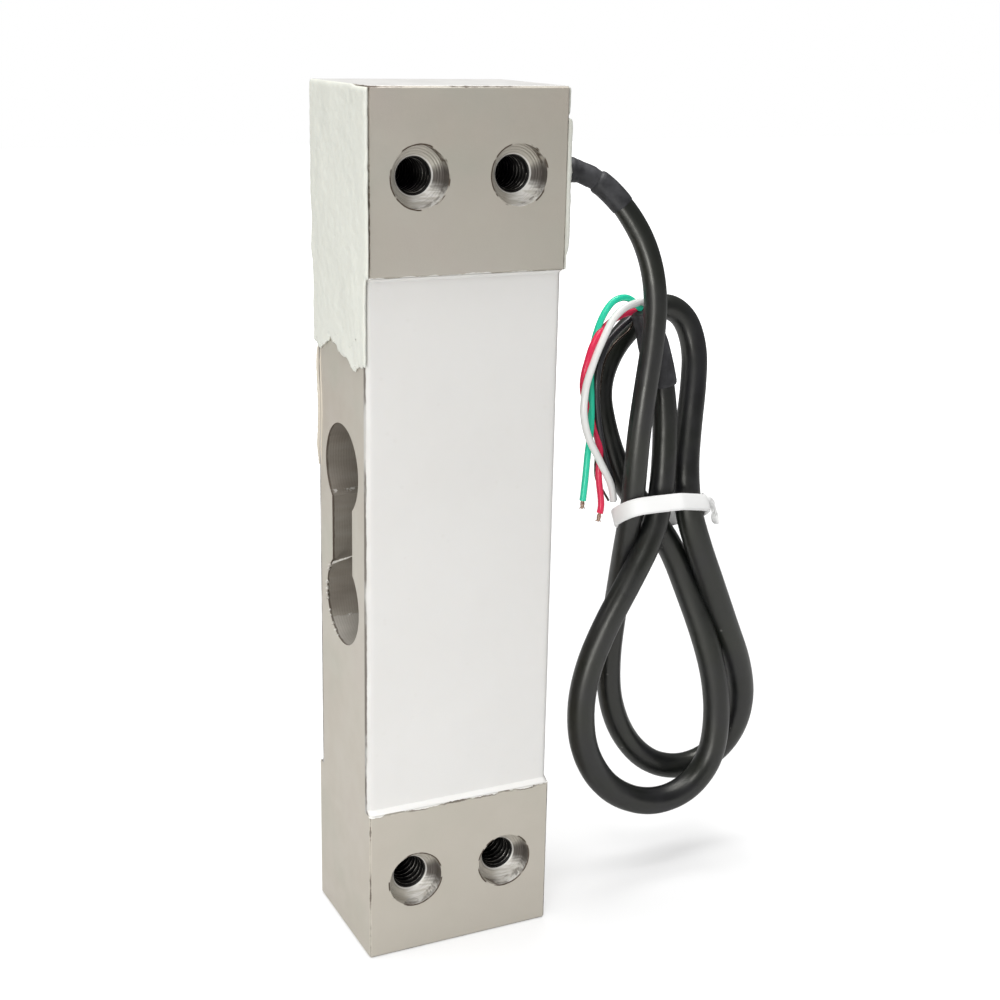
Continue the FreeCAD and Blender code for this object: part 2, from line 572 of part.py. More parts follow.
def make_span_resistor(doc):
    """The round resistor that trims the bridge's span, lying across the board's face."""
    face = "(-Dims.beam_width / 2 + Dims.pocket_depth - Dims.board_thickness)"
    item = doc.addObject("Part::Cylinder", "span_resistor")
    bind(item, Radius="Dims.span_radius", Height="Dims.span_length")
    item.Placement = Placement(Vector(), Rotation(Vector(1, 0, 0), -90))
    item.setExpression(".Placement.Base.x", f"{face} - Dims.span_radius")
    item.setExpression(".Placement.Base.y", "-Dims.span_length / 2")
    item.setExpression(".Placement.Base.z", "Dims.board_bottom + Dims.board_length - Dims.span_inset")
    return item


def make_mound(doc):
    """The cone of sealant drawn up round the cable's sleeve."""
    item = doc.addObject("Part::Cone", "SealantMound")
    bind(item, Radius1="Dims.mound_radius", Radius2="Dims.mound_tip_radius",
         Height="Dims.mound_height + 0.5 * Dims.right_skin")
    item.Placement = Placement(Vector(), Rotation(Vector(0, 1, 0), 90))
    item.setExpression(".Placement.Base.x", "Dims.beam_width / 2 + 0.5 * Dims.right_skin")
    item.setExpression(".Placement.Base.z", "Dims.cable_exit_height")
    return item


def wire_seat(name):
    """Where a wire leaves the end face of the sleeve."""
    before = Vector(*CABLE_ROUTE[-2])
    centre = Vector(*CABLE_ROUTE[-1])
    along = (centre - before).normalize()
    back = Vector(0, 1, 0)
    across = back.cross(along)
    if across.x < 0:
        across = -across
    offset_across, offset_back = WIRE_SEATS[name]
    return centre + across * offset_across + back * offset_back


def make_tie(dims):
    """The flat band round the bundle, raised in front and on the right, with a short twisted-off tail."""
    corners = [Vector(x, y, -dims.tie_height / 2) for x, y in TIE_CORNERS]
    core = Part.makePolygon(corners + corners[:1])
    through = Vector(0, 0, dims.tie_height)
    reach = dims.cable_radius + dims.tie_clearance
    inside = Part.Face(core.makeOffset2D(reach)).extrude(through)
    outside = Part.Face(core.makeOffset2D(reach + dims.tie_thickness)).extrude(through)
    band = outside.cut(inside)
    band.rotate(Vector(), Vector(1, 0, 0), -dims.tie_pitch)
    band.rotate(Vector(), Vector(0, 1, 0), -dims.tie_tilt)
    band.translate(Vector(*TIE_CENTRE, dims.tie_level))
    edges, _radii = route_edges(TIE_TAIL_ROUTE)
    return band.fuse(sweep(edges, dims.tie_tail_radius))


def ragged_left_outline(dims):
    """Outline of the left sealant in Y and Z: straight sides, a step at the pad and a ragged lower edge."""
    margin = dims.skin_margin
    half = dims.beam_thickness / 2
    inner = half - dims.recess_depth
    top = dims.beam_length
    shoulder = dims.upper_pad_start
    half_rule = "(Dims.beam_thickness / 2 - Dims.skin_margin)"
    inner_rule = "(Dims.beam_thickness / 2 - Dims.recess_depth - Dims.skin_margin)"
    top_rule = "Dims.beam_length - Dims.skin_margin"
    shoulder_rule = "Dims.upper_pad_start"
    outline = [
        (half - margin, top - margin, half_rule, top_rule),
        (margin - half, top - margin, f"-{half_rule}", top_rule),
        (margin - half, shoulder, f"-{half_rule}", shoulder_rule),
        (margin - inner, shoulder, f"-{inner_rule}", shoulder_rule),
    ]
    for y, z in RAGGED_EDGE:
        outline.append((y, z, f"{y} mm", f"{z} mm"))
    outline.append((inner - margin, shoulder, inner_rule, shoulder_rule))
    outline.append((half - margin, shoulder, half_rule, shoulder_rule))
    return outline


def right_outline(dims):
    """Outline of the right sealant in Y and Z: a rectangle over the pocket."""
    y = dims.beam_thickness / 2 - dims.skin_margin
    y_rule = "(Dims.beam_thickness / 2 - Dims.skin_margin)"
    low = dims.upper_pad_start
    high = dims.right_skin_top
    corners = ((1, low, "Dims.upper_pad_start"), (1, high, "Dims.right_skin_top"),
               (-1, high, "Dims.right_skin_top"), (-1, low, "Dims.upper_pad_start"))
    return [(sign * y, z, f"{sign} * {y_rule}", z_rule) for sign, z, z_rule in corners]


def mirrored_route(points):
    """The same route on the other side of the beam's middle plane."""
    return [(x, -y, z) for x, y, z in points]


def main():
    doc = FreeCAD.newDocument("LoadCell")
    dims = Sheet(doc)
    doc.recompute()
    nodes = {"beam": make_beam(doc, dims)}

    for place, side in (("front", -1), ("rear", 1)):
        for level_name, level in (("upper", 1), ("lower", -1)):
            name = f"gauge_{place}_{level_name}"
            nodes[name] = make_gauge(doc, name, side, level)
        nodes[f"{place}_terminals"] = make_terminals(doc, f"{place}_terminals", side)
        route = GAUGE_LEAD_ROUTE if side < 0 else mirrored_route(GAUGE_LEAD_ROUTE)
        edges, _radii = route_edges(route)
        nodes[f"{place}_leads"] = feature(doc, f"{place}_leads", sweep(edges, dims.lead_radius))
        blank = make_coat_blank(doc, dims, f"{place.capitalize()}Coat", side)
        inner = [f"gauge_{place}_upper", f"gauge_{place}_lower", f"{place}_terminals", f"{place}_leads"]
        nodes[f"{place}_coat"] = minus(doc, f"{place}_coat", blank, [nodes[name] for name in inner])

    nodes["junction_board"] = make_board(doc)
    nodes["zero_resistor"] = make_zero_resistor(doc)
    nodes["span_resistor"] = make_span_resistor(doc)
    edges, _radii = route_edges(CROSS_LEAD_ROUTE)
    nodes["cross_leads"] = feature(doc, "cross_leads", sweep(edges, dims.cross_lead_radius))

    cable_edges, radii = route_edges(CABLE_ROUTE)
    sleeve_end = sum(edge.Length for edge in cable_edges)
    cable_end = sleeve_end - dims.end_sleeve_overhang
    print(f"cable length {cable_end:.1f}, radii", " ".join(f"{radius:.1f}" for radius in radii))
    jacket = sweep(stretch(cable_edges, 0.0, cable_end), dims.cable_radius)
    nodes["cable_jacket"] = feature(doc, "cable_jacket", jacket)

    sleeve_edges = stretch(cable_edges, dims.entry_sleeve_start, dims.entry_sleeve_end)
    sleeve = sweep(sleeve_edges, dims.entry_sleeve_radius).cut(sweep(sleeve_edges, dims.cable_radius))
    nodes["entry_sleeve"] = feature(doc, "entry_sleeve", sleeve)

    end_edges = stretch(cable_edges, sleeve_end - dims.end_sleeve_length, sleeve_end)
    outer = feature(doc, "EndSleeveOuter", sweep(end_edges, dims.end_sleeve_radius))
    nodes["end_sleeve"] = minus(doc, "end_sleeve", outer, [nodes["cable_jacket"]])

    for name, route in WIRE_ROUTES.items():
        seat = wire_seat(name)
        edges, radii = route_edges([tuple(seat)] + route)
        length = sum(edge.Length for edge in edges)
        print(f"{name} length {length:.1f}, radii", " ".join(f"{radius:.1f}" for radius in radii))
        radius = dims.shield_radius if name == "shield_wire" else dims.wire_radius
        covered = length
        for tip, (owner, bare) in BARE_TIPS.items():
            if owner == name:
                covered = length - bare
                nodes[tip] = feature(doc, tip, sweep(stretch(edges, covered, length), dims.tip_radius))
        nodes[name] = feature(doc, name, sweep(stretch(edges, 0.0, covered), radius))

    nodes["bundle_tie"] = feature(doc, "bundle_tie", make_tie(dims))

    left = make_skin(doc, dims, "LeftSealantBlank", -1, ragged_left_outline(dims), "Dims.left_skin",
                     "left_pocket_bottom")
    sealed = ["junction_board", "zero_resistor", "span_resistor", "front_leads", "rear_leads", "cross_leads"]
    nodes["left_sealant"] = minus(doc, "left_sealant", left, [nodes[name] for name in sealed])

    right = make_skin(doc, dims, "RightSealantBlank", 1, right_outline(dims), "Dims.right_skin",
                      "right_pocket_bottom")
    drawn_up = doc.addObject("Part::Fuse", "RightSealantWithMound")
    drawn_up.Base = right
    drawn_up.Tool = make_mound(doc)
    sealed = ["cable_jacket", "entry_sleeve", "cross_leads"]
    nodes["right_sealant"] = minus(doc, "right_sealant", drawn_up, [nodes[name] for name in sealed])

    doc.recompute()
    export(doc, nodes)


def export(doc, nodes):
    """Check every object of the document, then write each sub-part to its own STEP file."""
    for item in doc.Objects:
        if "Invalid" in item.State or "Error" in item.State:
            raise RuntimeError(f"{item.Name} failed: {item.State}")
    os.makedirs("parts", exist_ok=True)
    for name, item in nodes.items():
        item.Label = name
        shape = item.Shape
        if shape.isNull() or not shape.isValid() or len(shape.Solids) != 1:
            raise RuntimeError(f"{name} is not one valid solid ({len(shape.Solids)} solids)")
        shape.Solids[0].exportStep(f"parts/{name}.step")
        print(f"{name} {shape.Volume:.2f}")


main()
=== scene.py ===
"""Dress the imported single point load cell: silicone, sealant, cable, wires, tie, finishes and studio."""

import json
import logging
import math
from collections.abc import Callable, Iterator, Sequence
from contextlib import contextmanager
from dataclasses import dataclass, field
from enum import Enum

import bpy
from mathutils import Matrix, Vector

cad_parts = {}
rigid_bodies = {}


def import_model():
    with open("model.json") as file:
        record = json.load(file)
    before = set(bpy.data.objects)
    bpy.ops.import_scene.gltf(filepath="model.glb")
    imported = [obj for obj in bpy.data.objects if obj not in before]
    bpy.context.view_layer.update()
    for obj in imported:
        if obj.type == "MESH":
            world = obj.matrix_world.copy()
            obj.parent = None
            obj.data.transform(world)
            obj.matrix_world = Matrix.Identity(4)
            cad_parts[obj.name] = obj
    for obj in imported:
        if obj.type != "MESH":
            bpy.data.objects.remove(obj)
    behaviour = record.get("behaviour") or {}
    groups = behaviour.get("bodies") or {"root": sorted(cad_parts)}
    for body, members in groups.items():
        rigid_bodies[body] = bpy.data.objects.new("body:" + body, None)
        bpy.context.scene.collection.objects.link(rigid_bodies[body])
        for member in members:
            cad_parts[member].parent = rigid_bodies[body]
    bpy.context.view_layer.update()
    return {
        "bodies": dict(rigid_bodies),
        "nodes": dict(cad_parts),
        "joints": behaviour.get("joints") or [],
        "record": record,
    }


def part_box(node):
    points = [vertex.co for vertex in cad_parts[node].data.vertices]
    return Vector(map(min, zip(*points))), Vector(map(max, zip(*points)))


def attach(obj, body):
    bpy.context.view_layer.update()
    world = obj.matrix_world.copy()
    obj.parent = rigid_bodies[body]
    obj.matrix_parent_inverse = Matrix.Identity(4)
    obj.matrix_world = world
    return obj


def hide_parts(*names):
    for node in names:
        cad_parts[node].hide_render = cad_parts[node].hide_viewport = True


LOG = logging.getLogger("load_cell")
ROOT = "root"
MM = 0.001

Point = tuple[float, float, float]
Colour = tuple[float, float, float]
Corner = tuple[float, float]
Piece = bpy.types.Object
Rule = Callable[[Vector], float]
Axis = tuple[str, int, float, float]

# Route of the cable from the wiring pocket, down, through two loops and a bend, to its free end.
CABLE_ROUTE: list[Point] = [
    (0.0136, 0.0, 0.1174), (0.018, 0.0, 0.1178), (0.0226, -0.001, 0.1174), (0.0264, -0.0023, 0.115),
    (0.0298, -0.0035, 0.111), (0.0326, -0.0045, 0.1058), (0.034, -0.0052, 0.0992), (0.0337, -0.0054, 0.092),
    (0.0328, -0.0053, 0.0846), (0.0322, -0.005, 0.0778), (0.0322, -0.0044, 0.0714), (0.0326, -0.0033, 0.065),
    (0.0329, -0.0012, 0.0582), (0.0335, 0.0011, 0.0514), (0.0336, 0.0027, 0.0442), (0.0331, 0.0031, 0.0366),
    (0.0336, 0.0031, 0.0292), (0.0364, 0.0031, 0.0221), (0.0414, 0.003, 0.0164), (0.0476, 0.0028, 0.014),
    (0.0536, 0.0024, 0.015), (0.0578, 0.0018, 0.0192), (0.0591, 0.001, 0.0256), (0.0572, 0.0003, 0.0332),
    (0.0535, -0.0005, 0.0408), (0.05, -0.0012, 0.0484), (0.0465, -0.0017, 0.056), (0.044, -0.0017, 0.0628),
    (0.0438, -0.0006, 0.0696), (0.0451, 0.0011, 0.0758), (0.0467, 0.0028, 0.082), (0.0476, 0.0043, 0.0882),
    (0.0458, 0.0053, 0.0936), (0.0414, 0.0057, 0.0956), (0.0365, 0.0055, 0.0928), (0.0319, 0.0048, 0.0884),
    (0.0294, 0.0037, 0.0828), (0.0302, 0.0027, 0.0768), (0.0321, 0.0021, 0.071), (0.0352, 0.0018, 0.0656),
    (0.0397, 0.0018, 0.0606), (0.0438, 0.0018, 0.0548), (0.0466, 0.0011, 0.048), (0.0492, -0.0004, 0.0406),
    (0.0513, -0.0016, 0.0328), (0.0521, -0.0022, 0.0248), (0.051, -0.0025, 0.0172), (0.046, -0.0026, 0.0122),
    (0.0386, -0.0026, 0.0114), (0.0309, -0.0026, 0.0154), (0.026, -0.0026, 0.0228), (0.0247, -0.0027, 0.031),
    (0.0258, -0.0031, 0.0388), (0.0286, -0.0039, 0.0464), (0.0324, -0.0043, 0.0534), (0.0366, -0.0035, 0.06),
    (0.0383, -0.0027, 0.0666), (0.0389, -0.002, 0.0732), (0.0391, -0.0012, 0.079), (0.0386, -0.0005, 0.0844),
    (0.0368, -0.0004, 0.0904), (0.0346, -0.0004, 0.096),
]

# Routes of the wires from the end of the cable's sleeve to their tips.
WIRE_ROUTES: dict[str, list[Point]] = {
    "green": [
        (0.0342, -0.0004, 0.0961), (0.0336, -0.0005, 0.0965), (0.0326, -0.0007, 0.0974),
        (0.0315, -0.0008, 0.098), (0.0302, -0.001, 0.0981), (0.0288, -0.0012, 0.0977),
        (0.0276, -0.0014, 0.0966), (0.0267, -0.0015, 0.0952), (0.0261, -0.0015, 0.0937),
        (0.0258, -0.0012, 0.0921), (0.0256, -0.001, 0.0901), (0.0255, -0.0008, 0.0877),
        (0.0257, -0.0006, 0.0853), (0.0258, -0.0008, 0.083), (0.0258, -0.001, 0.0806),
        (0.0257, -0.0013, 0.0783), (0.0254, -0.0015, 0.0763), (0.025, -0.0018, 0.0743),
        (0.0248, -0.0019, 0.0722), (0.0246, -0.002, 0.0698), (0.0243, -0.002, 0.0666),
    ],
    "red": [
        (0.0346, 0.0003, 0.0955), (0.0338, 0.0004, 0.0955), (0.0324, 0.0002, 0.0955),
        (0.0308, -0.0002, 0.0952), (0.0292, -0.0008, 0.0947), (0.0278, -0.0013, 0.0941),
        (0.0264, -0.0019, 0.0933), (0.0252, -0.0024, 0.0921), (0.0244, -0.0026, 0.0907),
        (0.0239, -0.0026, 0.0889), (0.0235, -0.0024, 0.0871), (0.0236, -0.0018, 0.0849),
        (0.0245, -0.001, 0.0826), (0.0257, -0.0004, 0.0802), (0.0267, -0.0004, 0.078),
        (0.0272, -0.0008, 0.0762), (0.0276, -0.0011, 0.0744), (0.0274, -0.0014, 0.0726),
        (0.0272, -0.0015, 0.0707), (0.0274, -0.0016, 0.0686), (0.0277, -0.0017, 0.0667),
        (0.0278, -0.0018, 0.065), (0.0275, -0.0019, 0.0641),
    ],
    "white": [
        (0.0355, 0.001, 0.0949), (0.0352, 0.0004, 0.0962), (0.0342, -0.0006, 0.0973),
        (0.0328, -0.0014, 0.0972), (0.0314, -0.0018, 0.097), (0.0302, -0.002, 0.0966),
        (0.029, -0.0022, 0.0958), (0.0279, -0.0024, 0.0947), (0.0271, -0.0026, 0.0934),
        (0.0262, -0.0028, 0.0919), (0.0252, -0.003, 0.09), (0.0242, -0.0032, 0.0876),
        (0.0234, -0.0034, 0.0855), (0.0231, -0.0035, 0.0835), (0.023, -0.0035, 0.0814),
        (0.0234, -0.0034, 0.0793), (0.024, -0.0033, 0.0775), (0.0249, -0.0031, 0.0758),
        (0.0261, -0.0029, 0.0739), (0.0274, -0.0025, 0.0718), (0.0287, -0.0021, 0.0698),
        (0.0298, -0.0016, 0.0678), (0.0303, -0.0012, 0.0658),
    ],
    "black": [
        (0.0354, 0.0006, 0.0954), (0.0352, 0.0014, 0.0958), (0.0347, 0.0018, 0.0955),
        (0.0342, 0.0018, 0.0946), (0.0331, 0.0014, 0.0939), (0.0316, 0.0008, 0.0932),
        (0.0302, 0.0002, 0.0924), (0.0289, -0.0002, 0.0914), (0.0279, -0.0006, 0.0901),
        (0.0272, -0.0008, 0.0886), (0.0268, -0.0008, 0.0871), (0.0266, -0.0009, 0.085),
        (0.0267, -0.0008, 0.0829), (0.027, -0.0008, 0.0802), (0.0274, -0.0009, 0.0775),
        (0.028, -0.001, 0.0748), (0.0288, -0.001, 0.0721), (0.0299, -0.0008, 0.0695),
        (0.0305, -0.0006, 0.0673), (0.0306, -0.0006, 0.0654),
    ],
    "shield": [
        (0.0357, 0.0018, 0.095), (0.0352, 0.0024, 0.0954), (0.035, 0.0027, 0.0944),
        (0.0347, 0.0027, 0.093), (0.0338, 0.0024, 0.092), (0.0318, 0.0016, 0.0912),
        (0.03, 0.0008, 0.0901), (0.0287, 0.0002, 0.0886), (0.028, 0.0, 0.0868),
        (0.0277, -0.0001, 0.0845), (0.0275, -0.0002, 0.0816), (0.0274, -0.0004, 0.0785),
        (0.0273, -0.0006, 0.0759), (0.027, -0.0008, 0.0733), (0.0269, -0.0009, 0.0709),
        (0.0271, -0.001, 0.0693), (0.0284, -0.0012, 0.0675), (0.0294, -0.0012, 0.0658),
    ],
}


# ---------------------------------------------------------------------------------------------------
# Shading


def operation(kind: str, swapped: bool = False) -> Callable:
    """Return a method that puts a field and any others through a Math node."""

    def join(self: "Field", *others: object) -> "Field":
        """Place the node, with the operands swapped where Python hands them over that way."""
        return self.tree.math(kind, *((*others, self) if swapped else (self, *others)))

    return join


class Field:
    """A value that varies over a surface, held as a node's output, so that its sums read as sums."""

    __add__ = operation("ADD")
    __radd__ = operation("ADD", swapped=True)
    __sub__ = operation("SUBTRACT")
    __rsub__ = operation("SUBTRACT", swapped=True)
    __mul__ = operation("MULTIPLY")
    __truediv__ = operation("DIVIDE")
    __gt__ = operation("GREATER_THAN")
    __lt__ = operation("LESS_THAN")
    __abs__ = operation("ABSOLUTE")
    least = operation("MINIMUM")
    most = operation("MAXIMUM")
    sine = operation("SINE")
    root = operation("SQRT")
    sign = operation("SIGN")

    def __init__(self, tree: "Tree", socket: bpy.types.NodeSocket) -> None:
        """Wrap an output of a tree."""
        self.tree = tree
        self.socket = socket

    def span(self, low: object, high: object, start: float = 0.0, end: float = 1.0) -> "Field":
        """Map smoothly from the range low to high onto the range start to end."""
        node = self.tree.add("ShaderNodeMapRange", {"interpolation_type": "SMOOTHSTEP"})
        return self.tree.fill(node, (self, low, high, start, end))


class Tree:
    """Short calls for building the nodes of one material or group."""

    def __init__(self, tree: bpy.types.NodeTree) -> None:
        """Wrap an empty node tree."""
        self.tree = tree

    def put(self, socket: bpy.types.NodeSocket, value: object) -> None:
        """Link a socket to a field, or set its value."""
        if isinstance(value, Field):
            self.tree.links.new(value.socket, socket)
        elif isinstance(value, tuple) and socket.type == "RGBA":
            socket.default_value = (*value, 1.0)
        else:
            socket.default_value = value

    def set(self, node: bpy.types.Node, **inputs: object) -> bpy.types.Node:
        """Fill a node's inputs by name, with underscores for spaces."""
        for name, value in inputs.items():
            self.put(node.inputs[name.replace("_", " ")], value)
        return node

    def add(self, kind: str, settings: dict[str, object] | None = None, **inputs: object) -> bpy.types.Node:
        """Add a node.

        Args:
            kind: The node's Blender type name.
            settings: Properties of the node itself.
            **inputs: Input sockets by name, with underscores for spaces.

        Returns:
            The new node.
        """
        node = self.tree.nodes.new(kind)
        for name, value in (settings or {}).items():
            setattr(node, name, value)
        return self.set(node, **inputs)

    def read(self, kind: str, **inputs: object) -> Field:
        """Add a node and return its first output."""
        return Field(self, self.add(kind, **inputs).outputs[0])

    def fill(self, node: bpy.types.Node, values: Sequence[object]) -> Field:
        """Fill a node's inputs in their order and return its first output."""
        for socket, value in zip(node.inputs, values):
            self.put(socket, value)
        return Field(self, node.outputs[0])

    def math(self, kind: str, *values: object) -> Field:
        """Add a Math node over one to three values."""
        return self.fill(self.add("ShaderNodeMath", {"operation": kind}), values)

    def place(self) -> Field:
        """Return the object coordinates."""
        return Field(self, self.add("ShaderNodeTexCoord").outputs["Object"])

    def split(self, vector: Field) -> list[Field]:
        """Return a vector's three parts."""
        return [Field(self, socket) for socket in self.add("ShaderNodeSeparateXYZ", Vector=vector).outputs]

    def layers(self, colour: object, *coats: tuple[object, Colour]) -> Field:
        """Lay colours over a base one after another, each by its own mask."""
        for mask, coat in coats:
            node = self.add("ShaderNodeMix", {"data_type": "RGBA"})
            for number, value in ((0, mask), (6, colour), (7, coat)):
                self.put(node.inputs[number], value)
            colour = Field(self, node.outputs[2])
        return colour

    def noise(self, vector: Field, scale: float, detail: float = 3.0) -> Field:
        """Add a noise texture and return its value."""
        return self.read("ShaderNodeTexNoise", Vector=vector, Scale=scale, Detail=detail, Roughness=0.55)

    def wander(self, vector: Field, scale: float, detail: float, reach: float) -> Field:
        """Return noise about zero, to make a straight line ragged."""
        return (self.noise(vector, scale, detail) - 0.5) * reach

    def stretched(self, vector: Field, factors: Point) -> Field:
        """Scale a vector along its axes."""
        return self.fill(self.add("ShaderNodeVectorMath", {"operation": "MULTIPLY"}), (vector, factors))

    def bump(self, height: Field, depth: float, strength: float, **under: Field) -> Field:
        """Turn a height into a normal, over another Normal if there is one."""
        return self.read("ShaderNodeBump", Height=height, Distance=depth, Strength=strength, **under)


def shared(name: str, output: str, **numbers: float) -> Callable:
    """Turn a function that wires nodes into one that places a shader node group with its own values.

    Args:
        name: The group's name. It is built on its first use.
        output: Its output.
        **numbers: Its number inputs and their defaults, beside the Vector input.

    Returns:
        A decorator.
    """

    def decorate(build: Callable) -> Callable:
        """Keep the function as the group's builder."""

        def build_group() -> bpy.types.NodeTree:
            """Build the group."""
            group = bpy.data.node_groups.new(name, "ShaderNodeTree")
            group.interface.new_socket("Vector", in_out="INPUT", socket_type="NodeSocketVector")
            for label, value in numbers.items():
                socket = group.interface.new_socket(label, in_out="INPUT", socket_type="NodeSocketFloat")
                socket.default_value = value
            group.interface.new_socket(output, in_out="OUTPUT", socket_type="NodeSocketFloat")
            tree = Tree(group)
            entry = group.nodes.new("NodeGroupInput").outputs
            fields = [Field(tree, entry[label]) for label in ("Vector", *numbers)]
            tree.put(group.nodes.new("NodeGroupOutput").inputs[output], build(tree, *fields))
            return group

        def place(tree: Tree, vector: Field, *values: float) -> Field:
            """Place the group and return its output."""
            group = bpy.data.node_groups.get(name) or build_group()
            inputs = dict(zip(numbers, values))
            return Field(tree, tree.add("ShaderNodeGroup", {"node_tree": group}, Vector=vector, **inputs).outputs[0])

        return place

    return decorate


@shared("Grain", "Height", Scale=1000.0)
def grain(tree: Tree, vector: Field, scale: Field) -> Field:
    """Fine surface grain: coarse, middle and fine noise over each other."""
    coarse, middle, fine = (
        tree.read("ShaderNodeTexNoise", Vector=vector, Scale=scale * factor, Detail=2.0) * weight
        for factor, weight in ((1.0, 0.45), (3.1, 0.35), (9.7, 0.2))
    )
    return coarse + middle + fine


@shared("Mottle", "Mask", Scale=60.0, Spread=0.3)
def mottle(tree: Tree, vector: Field, scale: Field, spread: Field) -> Field:
    """Soft uneven patches: a noise sharpened about its middle."""
    half = spread * 0.5
    noise = tree.read("ShaderNodeTexNoise", Vector=vector, Scale=scale, Detail=4.0)
    return noise.span(0.5 - half, 0.5 + half)


@shared("Specks", "Mask", Scale=400.0, Share=0.1)
def specks(tree: Tree, vector: Field, scale: Field, share: Field) -> Field:
    """Sparse small pits or specks: the middles of a few cells of a Voronoi pattern."""
    cells = tree.add("ShaderNodeTexVoronoi", Vector=vector, Scale=scale).outputs
    keep = tree.read("ShaderNodeTexWhiteNoise", Vector=Field(tree, cells["Position"]))
    return (keep < share) * Field(tree, cells["Distance"]).span(0.12, 0.3, 1.0, 0.0)


@dataclass(frozen=True)
class Finish:
    """A finish that is built once as a material and put on any number of pieces."""

    name: str

    def build(self, tree: Tree, shader: bpy.types.Node) -> None:
        """Wire the finish to its Principled shader."""
        raise NotImplementedError

    def material(self) -> bpy.types.Material:
        """Return the finish's material, built on its first use."""
        material = bpy.data.materials.get(self.name)
        if material is None:
            material = bpy.data.materials.new(self.name)
            material.use_nodes = True
            self.build(Tree(material.node_tree), material.node_tree.nodes["Principled BSDF"])
        return material

    def wear(self, piece: Piece) -> None:
        """Put the finish on a piece's only material slot."""
        piece.data.materials.clear()
        piece.data.materials.append(self.material())


@dataclass
class Spot:
    """Where a point of the beam is: by its coordinates, and from the nearest screw hole."""

    tree: Tree
    place: Field
    x: Field
    y: Field
    z: Field
    across: Field
    up: Field
    radius: Field

    @classmethod
    def of(cls, tree: Tree, centre: float, hole_across: float, hole_up: float) -> "Spot":
        """Wire the coordinates and the offsets from the nearest screw hole's axis.

        Args:
            tree: The material's tree.
            centre: Height of the beam's middle, in metres.
            hole_across: Offset of the holes from the middle, sideways.
            hole_up: Offset of the holes from the middle, along the beam.

        Returns:
            The spot.
        """
        place = tree.place()
        x, y, z = tree.split(place)
        height = z - centre
        across = x - x.sign() * hole_across
        up = height - height.sign() * hole_up
        return cls(tree, place, x, y, z, across, up, (across * across + up * up).root())

    def sector(self, bearing: float, low: float, high: float) -> Field:
        """Mask of the part of a hole's rim that lies towards a bearing in degrees."""
        turn = math.radians(bearing)
        return ((self.across * math.cos(turn) + self.up * math.sin(turn)) / self.radius).span(low, high)

    def noise(self, scale: float, detail: float = 3.0) -> Field:
        """Noise over the surface."""
        return self.tree.noise(self.place, scale, detail)

    def wander(self, scale: float, detail: float, reach: float) -> Field:
        """Noise about zero over the surface."""
        return self.tree.wander(self.place, scale, detail, reach)


